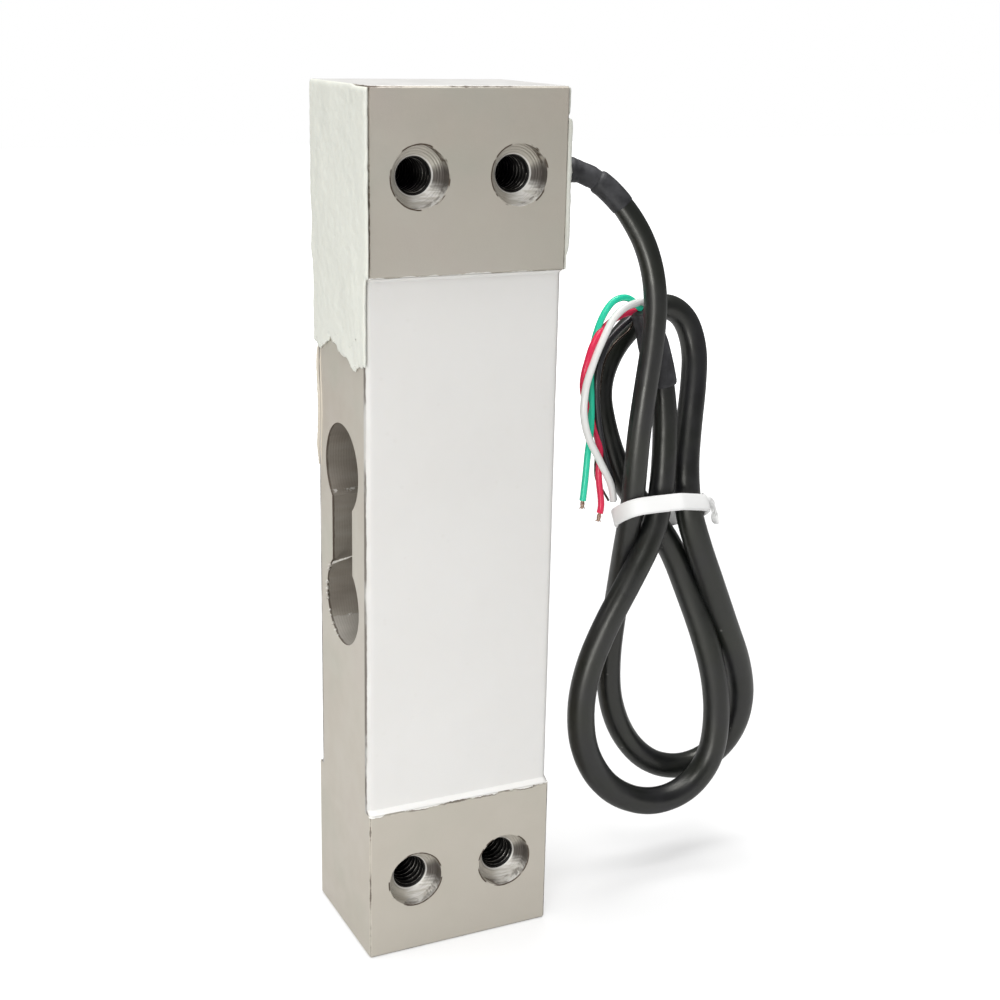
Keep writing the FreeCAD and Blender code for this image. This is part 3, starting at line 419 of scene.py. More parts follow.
@dataclass(frozen=True)
class BlastedAluminium(Finish):
    """Warm grey aluminium with a fine blasted grain, cutter marks, dirty edges, silicone smears, and painted light
    and shade.
    """

    name: str = "blasted_aluminium"
    base: Colour = (0.50, 0.449, 0.382)
    # Painted light: a paler colour laid on the top face
    wiped_and_painted_top_light: Colour = (0.69, 0.685, 0.675)
    pale: Colour = (0.555, 0.53, 0.465)
    green: Colour = (0.47, 0.475, 0.40)
    rose: Colour = (0.53, 0.47, 0.42)
    # Painted shade inside the tapped holes
    painted_bore_shade: Colour = (0.012, 0.011, 0.010)
    soil: Colour = (0.085, 0.06, 0.042)
    # Painted shade on the walls of the cut-out
    painted_cutout_shade: Colour = (0.17, 0.145, 0.118)
    shadow: Colour = (0.13, 0.115, 0.10)
    # Painted light: a paler colour laid on the lower faces, most on the broad ones
    painted_light: Colour = (0.66, 0.615, 0.535)
    # Painted highlights in the counterbores, on the tapped holes' mouths and in the bores
    painted_highlight: Colour = (0.84, 0.82, 0.78)
    white: Colour = (0.80, 0.79, 0.755)
    half_size: Point = (0.015, 0.011, 0.065)
    hole_across: float = 0.0075
    hole_up: float = 0.053
    rim: float = 0.0043
    bore: float = 0.00266
    chamfer: float = 0.0003
    recess_low: float = 0.024
    recess_high: float = 0.1045
    cut_out_depth: float = 0.0069
    cut_out_height: float = 0.0174
    feed_height: float = 0.0172
    feed: float = 0.00042
    ring_pitch: float = 0.0003
    ledge_heights: tuple[float, float] = (0.0503, 0.0705)

    def spot(self, tree: Tree) -> Spot:
        """Return where a point of this beam is."""
        return Spot.of(tree, self.half_size[2], self.hole_across, self.hole_up)

    def build(self, tree: Tree, shader: bpy.types.Node) -> None:
        """Wire grain, blotches, dirty edges, holes, cutter marks and silicone smears, with the painted light and
        shade.
        """
        at = self.spot(tree)
        blotches = mottle(tree, at.place, 240.0, 0.5)
        tint = at.noise(62.0)
        broad = abs(at.y) > self.half_size[1] - 0.00005
        crown = at.z > 2 * self.half_size[2] - 0.00006
        strokes = self.strokes(at)
        near_hole = at.radius < self.rim + 0.00003
        sink = near_hole * (abs(at.y) < self.half_size[1] - 0.0001)
        first_thread = abs(at.radius - (self.bore + 0.00011)).span(0.00005, 0.00013, 0.75, 0.0)
        walls = self.zone(at, self.cut_out_height) * (abs(at.x) < self.half_size[0] - 0.00004)
        streaks = tree.noise(tree.stretched(at.place, (0.2, 1.0, 1.0)), 260.0).span(0.3, 0.7, 0.55, 0.82)
        ragged = at.z + at.wander(420.0, 5.0, 0.0012)
        out = abs(at.y) > self.half_size[1] - 0.0004
        smear = (ragged > self.recess_low - 0.00022) * (ragged < self.recess_high + 0.0001) * out
        colour = tree.layers(
            self.base,
            (mottle(tree, at.place, 34.0, 0.6), self.pale),
            (tint.span(0.5, 0.72, 0.0, 0.5), self.rose),
            (tint.span(0.28, 0.5, 0.5, 0.0), self.green),
            (blotches * 0.22, self.pale),
            # Painted light, paler towards the bottom and strongest on the broad faces
            (at.z.span(0.03, 0.09, 1.0, 0.0) * broad.span(0.0, 1.0, 0.2, 0.6), self.painted_light),
            # Painted light on the top face
            (crown * 0.85, self.wiped_and_painted_top_light),
            (self.edges(at), self.soil),
            (self.rims(at), self.soil),
            (sink * at.sector(-6.0, 0.8, 0.99), self.shadow),
            # Painted highlight on each counterbore's lower right, broken by the scratches
            (sink * (at.sector(-62.0, 0.62, 0.97) * strokes), self.painted_highlight),
            # Painted highlight on the ring at the mouth of each tapped hole
            (first_thread, self.painted_highlight),
            # Painted shade inside the tapped holes
            (at.radius < self.bore, self.painted_bore_shade),
            # Painted shade, in streaks, on the cut-out's walls
            (walls * streaks, self.painted_cutout_shade),
            # Painted light on the bores' lower parts, with lines of painted highlight
            (walls * self.ledges(at), self.painted_highlight),
            (walls * self.mouth(at), self.soil),
            (self.foot_line(at, ragged) * out * 0.7, self.soil),
            (smear, self.white),
        )
        normal = tree.bump(grain(tree, at.place, 2600.0), 0.00006, 0.5)
        marks = self.feed_marks(at) + self.turn_marks(at) * (near_hole * strokes)
        tree.set(shader, Base_Color=colour, Metallic=smear.span(0.0, 1.0, 0.35, 0.0),
                 Roughness=blotches.span(0.0, 1.0, 0.55, 0.45),
                 Normal=tree.bump(marks, 0.00005, 0.55, Normal=normal))

    def zone(self, at: Spot, half_height: float) -> Field:
        """Mask of the block that holds the double bore and its slot."""
        return (abs(at.y) < self.cut_out_depth) * (abs(at.z - self.half_size[2]) < half_height)

    def strokes(self, at: Spot) -> Field:
        """Short slanting scratches left by a tool's last turn."""
        turned = at.tree.read("ShaderNodeMapping", Vector=at.place, Rotation=(0.0, math.radians(38), 0.0),
                              Scale=(0.35, 1.0, 3.0))
        return at.tree.noise(turned, 900.0, 2.0).span(0.38, 0.6, 0.35, 1.0)

    def edges(self, at: Spot) -> Field:
        """Broken brown soil on the chamfers, but not on the crown's left and rear edges."""
        half_x, half_y, half_z = self.half_size
        gap_x = half_x - abs(at.x)
        gap_y = half_y - abs(at.y)
        gap_z = half_z - abs(at.z - half_z)
        second = gap_x.least(gap_y).most(gap_x.most(gap_y).least(gap_z))
        second = second + at.wander(900.0, 4.0, 0.00035)
        line = second.span(self.chamfer * 0.55, self.chamfer * 0.95, 1.0, 0.0)
        broken = at.noise(150.0, 5.0).span(0.44, 0.56, 0.12, 0.9)
        clear = (at.x > 0.0006 - half_x).most(at.z < 2 * half_z - 0.001).most(at.y < -0.55 * half_y)
        return line * broken * clear

    def ledges(self, at: Spot) -> Field:
        """Mask of the bores' lower parts, painted lighter, each under a broken line of painted highlight."""
        rough = at.noise(1500.0, 2.0)
        floor = (at.z + (rough - 0.5) * 0.0008).span(0.0504, 0.0502) * 0.22
        lower, upper = (abs(at.z - level).span(0.00008, 0.0003, 0.6, 0.0) for level in self.ledge_heights)
        return floor.most(lower.most(upper) * rough.span(0.5, 0.6))

    def mouth(self, at: Spot) -> Field:
        """Mask of a thin broken line just inside the cut-out's mouths."""
        depth = self.half_size[0] - (abs(at.x) + at.wander(700.0, 3.0, 0.0005))
        return depth.span(0.0002, 0.00045, 0.75, 0.0)

    def rims(self, at: Spot) -> Field:
        """Broken dark arcs round the counterbores on both broad faces."""
        off = abs(at.radius + at.wander(1100.0, 2.0, 0.00012) - (self.rim + 0.00008))
        return off.span(0.00006, 0.00015, 1.0, 0.0) * at.noise(330.0, 2.0).span(0.47, 0.53)

    def feed_marks(self, at: Spot) -> Field:
        """Height of the cutter's feed marks along the cut-out."""
        along = at.x + at.noise(300.0) * 0.0004
        return (along * (2 * math.pi / self.feed)).sine() * (self.zone(at, self.feed_height) * 0.22)

    def turn_marks(self, at: Spot) -> Field:
        """Height of the rings turned into the counterbores."""
        return ((at.radius + at.y) * (2 * math.pi / self.ring_pitch)).sine()

    def foot_line(self, at: Spot, ragged: Field) -> Field:
        """Mask of a thin broken line where the lower pad meets the coat."""
        line = abs(ragged - (self.recess_low - 0.0003)).span(0.00005, 0.00014, 1.0, 0.0)
        return line * at.noise(190.0).span(0.42, 0.54, 0.25, 1.0)


@dataclass(frozen=True)
class ThreadRidge(Finish):
    """Thread in painted shade, with painted highlights on its crests."""

    name: str = "thread_ridge"
    # Painted shade of the thread
    dark: Colour = (0.012, 0.011, 0.010)
    painted_highlight: Colour = (0.52, 0.50, 0.46)
    crest: float = 0.00231

    def build(self, tree: Tree, shader: bpy.types.Node) -> None:
        """Wire the painted highlights on the crests over the painted shade of the flanks."""
        at = BlastedAluminium().spot(tree)
        # Mask of the crests, which get a painted highlight
        painted_light = at.radius.span(self.crest + 0.00001, self.crest + 0.00006, 1.0, 0.0)
        broken = at.noise(500.0).span(0.42, 0.66, 0.08, 1.0)
        tree.set(shader, Base_Color=tree.layers(self.dark, (painted_light * broken, self.painted_highlight)), Metallic=0.8,
                 Roughness=painted_light.span(0.0, 1.0, 0.5, 0.3),
                 Normal=tree.bump(grain(tree, at.place, 2600.0), 0.00004, 0.5))


@dataclass(frozen=True)
class CastSilicone(Finish):
    """White silicone, faintly uneven, with fine pores."""

    name: str = "cast_silicone"
    base: Colour = (0.775, 0.765, 0.742)
    shade: Colour = (0.70, 0.68, 0.645)
    # Painted light: the sheet is paler towards the bottom
    pale: Colour = (0.88, 0.87, 0.85)
    # Painted shade on the sheet's rounded long edges
    grey: Colour = (0.50, 0.49, 0.46)
    dark: Colour = (0.16, 0.14, 0.12)
    roughness: float = 0.42
    cells: float = 1400.0

    def build(self, tree: Tree, shader: bpy.types.Node) -> None:
        """Wire soft patches, pores and a low waviness, then the dirt and the painted light and shade."""
        place = tree.place()
        patches = mottle(tree, place, 45.0, 0.6)
        pores = specks(tree, place, 700.0, 0.06)
        colour = tree.layers(self.base, (patches * 0.35, self.shade), (pores * 0.25, self.shade))
        normal = tree.bump(grain(tree, place, self.cells), 0.00003, 0.5)
        normal = tree.bump(tree.noise(place, 130.0, 2.0), 0.0002, 0.35, Normal=normal)
        colour, normal = self.dirt_and_painted_shading(tree, place, colour, normal)
        tree.set(shader, Base_Color=colour, Subsurface_Weight=0.08, Subsurface_Radius=(0.0012, 0.0010, 0.0008),
                 Roughness=patches.span(0.0, 1.0, self.roughness, self.roughness + 0.1), Normal=normal)

    def dirt_and_painted_shading(self, tree: Tree, place: Field, colour: Field, normal: Field) -> tuple[Field, Field]:
        """Paint light towards the bottom and shade on the sheet's long edges, and draw a broken line of dirt along
        them.

        Args:
            tree: The material's tree.
            place: The object coordinates.
            colour: The clean colour.
            normal: The clean normal.

        Returns:
            The colour with its dirt and painted light and shade, and the normal.
        """
        x, _y, z = tree.split(place)
        out = abs(x) + tree.wander(place, 240.0, 4.0, 0.0003)
        clouds = tree.noise(place, 55.0, 2.0).span(0.35, 0.65, 0.12, 0.5)
        broken = tree.noise(tree.stretched(place, (1.0, 1.0, 0.4)), 200.0, 4.0).span(0.38, 0.5, 0.35, 1.0)
        colour = tree.layers(
            colour,
            # Painted light: paler towards the bottom
            (z.span(0.022, 0.085, 0.35, 0.0), self.pale),
            # Painted shade, in soft clouds, on the rounded long edges
            (out.span(0.0141, 0.0149) * clouds, self.grey),
            (out.span(0.01484, 0.01493) * broken, self.dark),
        )
        return colour, normal


@dataclass(frozen=True)
class PottingSealant(CastSilicone):
    """Off-white potting sealant, spread on by hand, with dirt along its edges."""

    name: str = "potting_sealant"
    base: Colour = (0.71, 0.72, 0.655)
    shade: Colour = (0.62, 0.62, 0.55)
    roughness: float = 0.36
    cells: float = 900.0
    dirt: Colour = (0.13, 0.085, 0.055)
    edge: float = 0.0109

    def dirt_and_painted_shading(self, tree: Tree, place: Field, colour: Field, normal: Field) -> tuple[Field, Field]:
        """Add dirt at the front and rear edges, and wiping marks."""
        x, y, _z = tree.split(place)
        near = abs(y).span(self.edge - 0.00016, self.edge) * abs(x).span(0.01508, 0.01526, 1.0, 0.0)
        broken = tree.noise(tree.stretched(place, (1.0, 1.0, 0.25)), 260.0, 4.0).span(0.4, 0.52, 0.15, 1.0)
        wiped_and_painted_top_light = tree.noise(tree.stretched(place, (1.0, 1.0, 0.2)), 320.0)
        colour = tree.layers(colour, (near * broken * 0.8, self.dirt))
        return colour, tree.bump(wiped_and_painted_top_light, 0.0002, 0.4, Normal=normal)


@dataclass(frozen=True)
class CableJacket(Finish):
    """Black satin jacket with a bloom of scuffs."""

    name: str = "cable_jacket"
    base: Colour = (0.004, 0.0045, 0.006)
    scuff: Colour = (0.009, 0.009, 0.013)
    bloom: Colour = (0.012, 0.015, 0.009)
    dust: Colour = (0.30, 0.30, 0.28)

    def build(self, tree: Tree, shader: bpy.types.Node) -> None:
        """Wire scuffs, specks of dust and a soft unevenness."""
        place = tree.place()
        patches = mottle(tree, place, 210.0, 0.4)
        colour = tree.layers(
            self.base,
            (patches, self.scuff),
            (mottle(tree, place, 95.0, 0.4) * 0.6, self.bloom),
            (specks(tree, place, 900.0, 0.02) * 0.4, self.dust),
        )
        normal = tree.bump(grain(tree, place, 2200.0), 0.00002, 0.5)
        tree.set(shader, Base_Color=colour, Roughness=patches.span(0.0, 1.0, 0.32, 0.4),
                 Specular_IOR_Level=0.8, Specular_Tint=(1.0, 0.99, 0.92),
                 Normal=tree.bump(tree.noise(place, 380.0, 2.0), 0.00012, 0.4, Normal=normal))


@dataclass(frozen=True)
class Patchy(Finish):
    """Two colours in soft patches that their roughness follows, over a fine grain."""

    name: str
    base: Colour
    shade: Colour
    cells: float = 420.0
    spread: float = 0.5
    smooth: float = 0.28
    rough: float = 0.4
    metallic: float = 0.0
    depth: float = 0.00002
    strength: float = 0.5
    grain: float = 3000.0
    scatter: float = 0.0
    scatter_radius: float = 0.0004

    def build(self, tree: Tree, shader: bpy.types.Node) -> None:
        """Wire the patches and, where the finish has one, the grain."""
        place = tree.place()
        patches = mottle(tree, place, self.cells, self.spread)
        tree.set(shader, Base_Color=tree.layers(self.base, (patches, self.shade)), Metallic=self.metallic,
                 Roughness=patches.span(0.0, 1.0, self.smooth, self.rough))
        if self.scatter:
            tree.set(shader, Subsurface_Weight=self.scatter, Subsurface_Radius=(self.scatter_radius,) * 3)
        if self.depth:
            tree.set(shader, Normal=tree.bump(grain(tree, place, self.grain), self.depth, self.strength))


@dataclass(frozen=True)
class FreshChip(Patchy):
    """Freshly torn aluminium."""

    name: str = "fresh_chip"
    base: Colour = (0.72, 0.70, 0.65)
    shade: Colour = (0.45, 0.42, 0.37)
    cells: float = 1500.0
    smooth: float = 0.3
    rough: float = 0.5
    metallic: float = 0.4
    depth: float = 0.00004
    grain: float = 2600.0


@dataclass(frozen=True)
class ShrunkSleeve(Patchy):
    """Black shrunk tube, duller than the cable."""

    name: str = "shrunk_sleeve"
    base: Colour = (0.016, 0.016, 0.018)
    shade: Colour = (0.05, 0.05, 0.055)
    cells: float = 330.0
    spread: float = 0.4
    smooth: float = 0.45
    rough: float = 0.62
    depth: float = 0.00005
    strength: float = 0.7
    grain: float = 1500.0


@dataclass(frozen=True)
class Insulation(Patchy):
    """Glossy wire insulation of one colour."""

    strength: float = 0.4
    scatter: float = 0.06


@dataclass(frozen=True)
class BareCopper(Patchy):
    """Bare copper strands, slightly tarnished."""

    name: str = "bare_copper"
    base: Colour = (0.80, 0.62, 0.50)
    shade: Colour = (0.40, 0.25, 0.17)
    cells: float = 900.0
    spread: float = 0.4
    smooth: float = 0.25
    rough: float = 0.5
    metallic: float = 1.0
    depth: float = 0.0


@dataclass(frozen=True)
class TiePlastic(Patchy):
    """White plastic of the tie, a little translucent."""

    name: str = "tie_plastic"
    base: Colour = (0.86, 0.86, 0.85)
    shade: Colour = (0.74, 0.74, 0.73)
    cells: float = 260.0
    smooth: float = 0.38
    rough: float = 0.5
    grain: float = 1800.0
    scatter: float = 0.1
    scatter_radius: float = 0.0006


def ray(tree: Tree) -> tuple[Field, Field]:
    """Return whether a ray comes from the camera or through glass, and whether it comes from a mirror."""
    path = tree.add("ShaderNodeLightPath").outputs
    kinds = ("Camera", "Transmission", "Glossy")
    camera, through, glossy = (Field(tree, path[f"Is {kind} Ray"]) for kind in kinds)
    return camera.most(through), glossy


@dataclass(frozen=True)
class PaleFloor(Finish):
    """Pale studio floor, white to the camera away from the object, that keeps the object's soft shadow."""

    name: str = "pale_floor"
    base: Colour = (0.55, 0.55, 0.55)
    shade: Colour = (0.53, 0.53, 0.53)
    near: float = 0.16
    far: float = 0.42

    def build(self, tree: Tree, shader: bpy.types.Node) -> None:
        """Wire a faint unevenness, and a glow that takes over away from the object."""
        place = tree.place()
        x, y, _z = tree.split(place)
        away = (x * x + y * y).root().span(self.near, self.far)
        colour = tree.layers(self.base, (mottle(tree, place, 8.0, 0.8), self.shade))
        tree.set(shader, Base_Color=colour, Roughness=0.9, Specular_IOR_Level=0.1, Emission_Color=(1.0, 1.0, 1.0),
                 Emission_Strength=ray(tree)[0] * away.span(0.0, 1.0, 0.42, 1.0))


@dataclass(frozen=True)
class Laminate(Finish):
    """Glass laminate or foil with a fine weave, for the pieces under the sealant."""

    name: str = "laminate"
    base: Colour = (0.05, 0.22, 0.1)
    weave: Colour = (0.08, 0.3, 0.14)
    threads: float = 9000.0

    def build(self, tree: Tree, shader: bpy.types.Node) -> None:
        """Wire a woven colour and bump."""
        _x, y, z = tree.split(tree.place())
        cloth = (y * self.threads).sine() * (z * self.threads).sine()
        colour = tree.layers(self.base, (cloth.span(-1.0, 1.0), self.weave))
        tree.set(shader, Base_Color=colour, Roughness=0.35, Normal=tree.bump(cloth, 0.00002, 0.5))


class WireColour(Enum):
    """The wires' insulation: name, colour and the colour of its darker patches."""

    GREEN = ("green", (0.012, 0.80, 0.55), (0.006, 0.70, 0.45))
    RED = ("red", (0.90, 0.016, 0.085), (0.78, 0.012, 0.06))
    WHITE = ("white", (0.94, 0.93, 0.91), (0.88, 0.87, 0.84))
    BLACK = ("black", (0.012, 0.012, 0.013), (0.03, 0.03, 0.033))

    @property
    def finish(self) -> Insulation:
        """The insulation finish of this colour."""
        label, base, deep = self.value
        return Insulation(f"insulation_{label}", base, deep)


# ---------------------------------------------------------------------------------------------------
# Modelling


def deselect() -> None:
    """Leave edit mode and select nothing."""
    if bpy.context.object is not None and bpy.context.object.mode != "OBJECT":
        bpy.ops.object.mode_set(mode="OBJECT")
    bpy.ops.object.select_all(action="DESELECT")


def activate(piece: Piece) -> None:
    """Select one piece alone and make it active."""
    deselect()
    piece.select_set(True)
    bpy.context.view_layer.objects.active = piece


def link(name: str, data: bpy.types.ID) -> Piece:
    """Put data into the scene as a new object."""
    piece = bpy.data.objects.new(name, data)
    bpy.context.scene.collection.objects.link(piece)
    return piece


def joined(parts: Sequence[Piece]) -> Piece:
    """Join parts into the first of them and return it."""
    activate(parts[0])
    for part in parts[1:]:
        part.select_set(True)
    bpy.ops.object.join()
    return parts[0]


@contextmanager
def editing(piece: Piece) -> Iterator[None]:
    """Select all of a piece's mesh in edit mode, and leave that mode afterwards."""
    activate(piece)
    bpy.ops.object.mode_set(mode="EDIT")
    bpy.ops.mesh.select_all(action="SELECT")
    yield
    bpy.ops.object.mode_set(mode="OBJECT")


def settle(piece: Piece) -> None:
    """Bring a piece's place, turn and scale into its mesh."""
    activate(piece)
    bpy.ops.object.transform_apply(location=True, rotation=True, scale=True)


def apply_all(piece: Piece) -> None:
    """Apply every modifier of a piece in order."""
    activate(piece)
    for modifier in list(piece.modifiers):
        bpy.ops.object.modifier_apply(modifier=modifier.name)


def finish_piece(piece: Piece, name: str, look: Finish, replaced: Sequence[str] = ()) -> None:
    """Name a piece, give it its finish and slot, and let it ride on the part.

    Args:
        piece: The finished object.
        name: Its name in the scene.
        look: Its finish.
        replaced: CAD nodes that it stands for.
    """
    piece.name = name
    piece.data.name = name
    look.wear(piece)
    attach(piece, ROOT)
    if replaced:
        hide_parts(*replaced)
    LOG.info("%s made", name)


def weigh(piece: Piece, label: str, rule: Rule) -> bpy.types.VertexGroup:
    """Fill a vertex group with a weight for each vertex by its place."""
    group = piece.vertex_groups.new(name=label)
    for vertex in piece.data.vertices:
        weight = rule(vertex.co)
        if weight > 0.0:
            group.add([vertex.index], min(weight, 1.0), "REPLACE")
    return group


def push(piece: Piece, direction: str, amount: float, rule: Rule | None = None, lump: float | None = None) -> None:
    """Displace a piece and apply it.

    Args:
        piece: The object.
        direction: X, Y, Z or NORMAL.
        amount: How far a vertex of full weight moves, in metres.
        rule: Weight of a vertex by its place, or None for all of it.
        lump: Size of the clouds that vary the push about zero, in metres, or None for an even push.
    """
    modifier = piece.modifiers.new("Push", "DISPLACE")
    modifier.direction = direction
    modifier.strength = amount
    modifier.mid_level = 0.0
    if rule is not None:
        modifier.vertex_group = weigh(piece, f"push_{len(piece.vertex_groups)}", rule).name
    if lump is not None:
        clouds = bpy.data.textures.new(f"clouds_{piece.name}", "CLOUDS")
        clouds.noise_scale = lump
        clouds.noise_depth = 3
        modifier.texture = clouds
        modifier.texture_coords = "LOCAL"
        modifier.mid_level = 0.5
    apply_all(piece)


def ease(value: float) -> float:
    """Smooth step from 0 to 1."""
    value = min(max(value, 0.0), 1.0)
    return value * value * (3.0 - 2.0 * value)


def profile_at(profile: Sequence[Corner], place: float, passage: Callable[[float], float] = float) -> float:
    """Read a profile at one place.

    Args:
        profile: Its corners in order, each a place and a value.
        place: Where to read it.
        passage: Shape of the way between two corners, straight unless it is given.

    Returns:
        The value there, and beyond the end the last one.
    """
    for (low, first), (high, second) in zip(profile, profile[1:]):
        if place <= high:
            return first + (second - first) * passage((place - low) / (high - low))
    return profile[-1][1]


def within(*ramps: Axis) -> Rule:
    """Make a rule for weights out of ramps that are multiplied.

    Args:
        *ramps: Each an axis name, the sign it is taken with, where the ramp starts, and its length.

    Returns:
        The rule.
    """

    def rule(place: Vector) -> float:
        """Multiply the ramps at one place."""
        return math.prod(ease((sign * getattr(place, axis) - start) / reach) for axis, sign, start, reach in ramps)

    return rule


def bar(low: Point, high: Point) -> Piece:
    """Make a plain block between two corners in millimetres, to be melted into another piece.

    Args:
        low: Its lowest corner.
        high: Its highest corner.

    Returns:
        The block.
    """
    deselect()
    bpy.ops.mesh.primitive_cube_add(size=1.0, location=[(a + b) / 2 * MM for a, b in zip(low, high)])
    block = bpy.context.object
    block.scale = [(b - a) * MM for a, b in zip(low, high)]
    settle(block)
    return block


def remade(node: str, voxel: float, smooth: int, extra: Sequence[Piece]) -> Piece:
    """Copy a CAD node's mesh, merge it and remesh it evenly, ready for shaping.

    Args:
        node: The CAD node.
        voxel: Size of the new mesh's cells, in metres.
        smooth: Rounds of smoothing.
        extra: Solids that melt into it.

    Returns:
        The new object.
    """
    piece = link(f"{node}_shape", bpy.data.objects[node].data.copy())
    with editing(piece):
        bpy.ops.mesh.remove_doubles(threshold=1e-6)
    joined([piece, *extra])
    cells = piece.modifiers.new("Cells", "REMESH")
    cells.mode = "VOXEL"
    cells.voxel_size = voxel
    cells.use_smooth_shade = True
    even = piece.modifiers.new("Even", "SMOOTH")
    even.factor = 0.5
    even.iterations = smooth
    apply_all(piece)
    return piece


def line_of(route: Piece) -> list[Vector]:
    """Read the points along a route's own spline, as a curve with no bevel gives them."""
    data = route.data.copy()
    data.bevel_depth = 0.0
    bare = link("bare_line", data)
    bpy.context.view_layer.update()
    mesh = bpy.data.meshes.new_from_object(bare.evaluated_get(bpy.context.evaluated_depsgraph_get()))
    points = [vertex.co.copy() for vertex in mesh.vertices]
    bpy.data.objects.remove(bare)
    bpy.data.meshes.remove(mesh)
    return points


def length_of(line: Sequence[Vector]) -> float:
    """Return the length of a line."""
    return sum((after - before).length for before, after in zip(line, line[1:]))


def part_of(points: Sequence[Vector], start: float, end: float, count: int) -> list[Vector]:
    """Return evenly spaced points of a line between two distances from its beginning."""
    lengths = [0.0]
    for before, after in zip(points, points[1:]):
        lengths.append(lengths[-1] + (after - before).length)
    result = []
    index = 0
    for number in range(count):
        target = start + (end - start) * number / (count - 1)
        while index < len(points) - 2 and lengths[index + 1] < target:
            index += 1
        share = (target - lengths[index]) / (lengths[index + 1] - lengths[index])
        result.append(points[index].lerp(points[index + 1], share))
    return result


def tube(name: str, line: Sequence[Vector], radii: Sequence[float], sides: int = 32) -> Piece:
    """Skin a closed tube of varying radius along a line.

    Args:
        name: The new object's name.
        line: Its centreline.
        radii: Its radius at each point of the line.
        sides: Faces round it.

    Returns:
        The new object.
    """
    vertices: list[Vector] = []
    faces: list[tuple[int, ...]] = []
    side = Vector((0, 1, 0))
    for index, (point, radius) in enumerate(zip(line, radii)):
        along = line[min(index + 1, len(line) - 1)] - line[max(index - 1, 0)]
        along.normalize()
        side = (side - along * side.dot(along)).normalized()
        other = along.cross(side)
        for step in range(sides):
            angle = 2 * math.pi * step / sides
            vertices.append(point + (side * math.cos(angle) + other * math.sin(angle)) * radius)
        if index:
            base = (index - 1) * sides
            for step in range(sides):
                after = (step + 1) % sides
                faces.append((base + step, base + after, base + sides + after, base + sides + step))
    faces.append(tuple(reversed(range(sides))))
    faces.append(tuple(range(len(vertices) - sides, len(vertices))))
    mesh = bpy.data.meshes.new(name)
    mesh.from_pydata(vertices, [], faces)
    mesh.update()
    piece = link(name, mesh)
    activate(piece)
    bpy.ops.object.shade_smooth_by_angle(angle=math.radians(50))
    return piece


def spline(name: str, points: Sequence[Point], closed: bool = False, **settings: object) -> Piece:
    """Make a curve on one smooth spline.

    Args:
        name: The new object's name.
        points: The spline's control points.
        closed: Whether it runs back to its start.
        **settings: Properties of the curve, such as its bevel.

    Returns:
        The curve object.
    """
    curve = bpy.data.curves.new(name, "CURVE")
    curve.dimensions = "3D"
    for label, value in settings.items():
        setattr(curve, label, value)
    line = curve.splines.new("NURBS")
    line.points.add(len(points) - 1)
    for control, point in zip(line.points, points):
        control.co = (*point, 1.0)
    line.order_u = 3
    line.use_cyclic_u = closed
    line.use_endpoint_u = not closed
    return link(name, curve)


def nurbs(name: str, points: Sequence[Point], radius: float, turns: int) -> Piece:
    """Make a round cord along a route, with so many steps between two of its points."""
    return spline(name, points, bevel_depth=radius, bevel_resolution=8, resolution_u=turns, use_fill_caps=True)


def baked(piece: Piece) -> Piece:
    """Turn a curve into a mesh, with its place in the mesh, and return it."""
    activate(piece)
    bpy.ops.object.convert(target="MESH")
    settle(piece)
    return piece


@dataclass
class Coat:
    """Silicone over the gauges in one recess: a smooth sheet that rises to the pads at both ends."""

    node: str
    side: int
    depth: float = 1.05 * MM
    rise: float = 0.85 * MM
    rise_length: float = 0.6 * MM
    edge: float = 0.9 * MM
    wave: float = 0.16 * MM
    columns: int = 90
    rows: int = 440

    def make(self) -> None:
        """Build the sheet, shape it by weighted pushes and close it down to the recess floor."""
        low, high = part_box(self.node)
        floor = high.y if self.side < 0 else low.y
        surface = floor + self.side * self.depth
        deselect()
        bpy.ops.mesh.primitive_grid_add(
            x_subdivisions=self.columns, y_subdivisions=self.rows, size=1.0,
            location=((low.x + high.x) / 2, surface, (low.z + high.z) / 2),
            rotation=(math.radians(-90 * self.side), 0, 0),
        )
        piece = bpy.context.object
        piece.scale = (high.x - low.x, high.z - low.z, 1.0)
        settle(piece)
        self.shape(piece, low, high)
        self.close(piece, floor)
        finish_piece(piece, f"{self.node}_cast", CastSilicone(), [self.node])

    def shape(self, piece: Piece, low: Vector, high: Vector) -> None:
        """Raise the ends, round the long edges and let the surface wander a little."""
        out = self.side

        def to_end(place: Vector) -> float:
            """Weight that grows towards the pads."""
            gap = min(place.z - low.z, high.z - place.z)
            return ease(1.0 - gap / self.rise_length)

        def to_edge(place: Vector) -> float:
            """Weight of a round edge towards the narrow sides."""
            gap = min(place.x - low.x, high.x - place.x) / self.edge
            return 0.0 if gap >= 1.0 else 1.0 - math.sqrt(max(0.0, 1.0 - (1.0 - gap) ** 2))

        def inside(place: Vector) -> float:
            """Weight that fades at the pads, where the sheet meets the metal."""
            gap = min(place.z - low.z, high.z - place.z)
            return ease(gap / (1.5 * MM))

        push(piece, "Y", out * self.rise, to_end)
        push(piece, "Y", out * self.wave, inside, lump=14 * MM)
        push(piece, "Y", out * 0.05 * MM, inside, lump=3 * MM)
        push(piece, "Y", -out * 0.75 * self.edge, to_edge)

    def close(self, piece: Piece, floor: float) -> None:
        """Extrude the border down to the recess floor and fill the back."""
        with editing(piece):
            bpy.ops.mesh.select_mode(type="EDGE")
            bpy.ops.mesh.select_all(action="DESELECT")
            bpy.ops.mesh.select_non_manifold()
            bpy.ops.mesh.extrude_edges_move(TRANSFORM_OT_translate={"value": (0, -self.side * 0.2 * MM, 0)})
            bpy.ops.transform.resize(value=(1, 0, 1), center_override=(0, floor, 0))
            bpy.ops.mesh.edge_face_add()
            bpy.ops.mesh.select_all(action="SELECT")
            bpy.ops.mesh.normals_make_consistent(inside=False)
        bpy.ops.object.shade_smooth_by_angle(angle=math.radians(40))


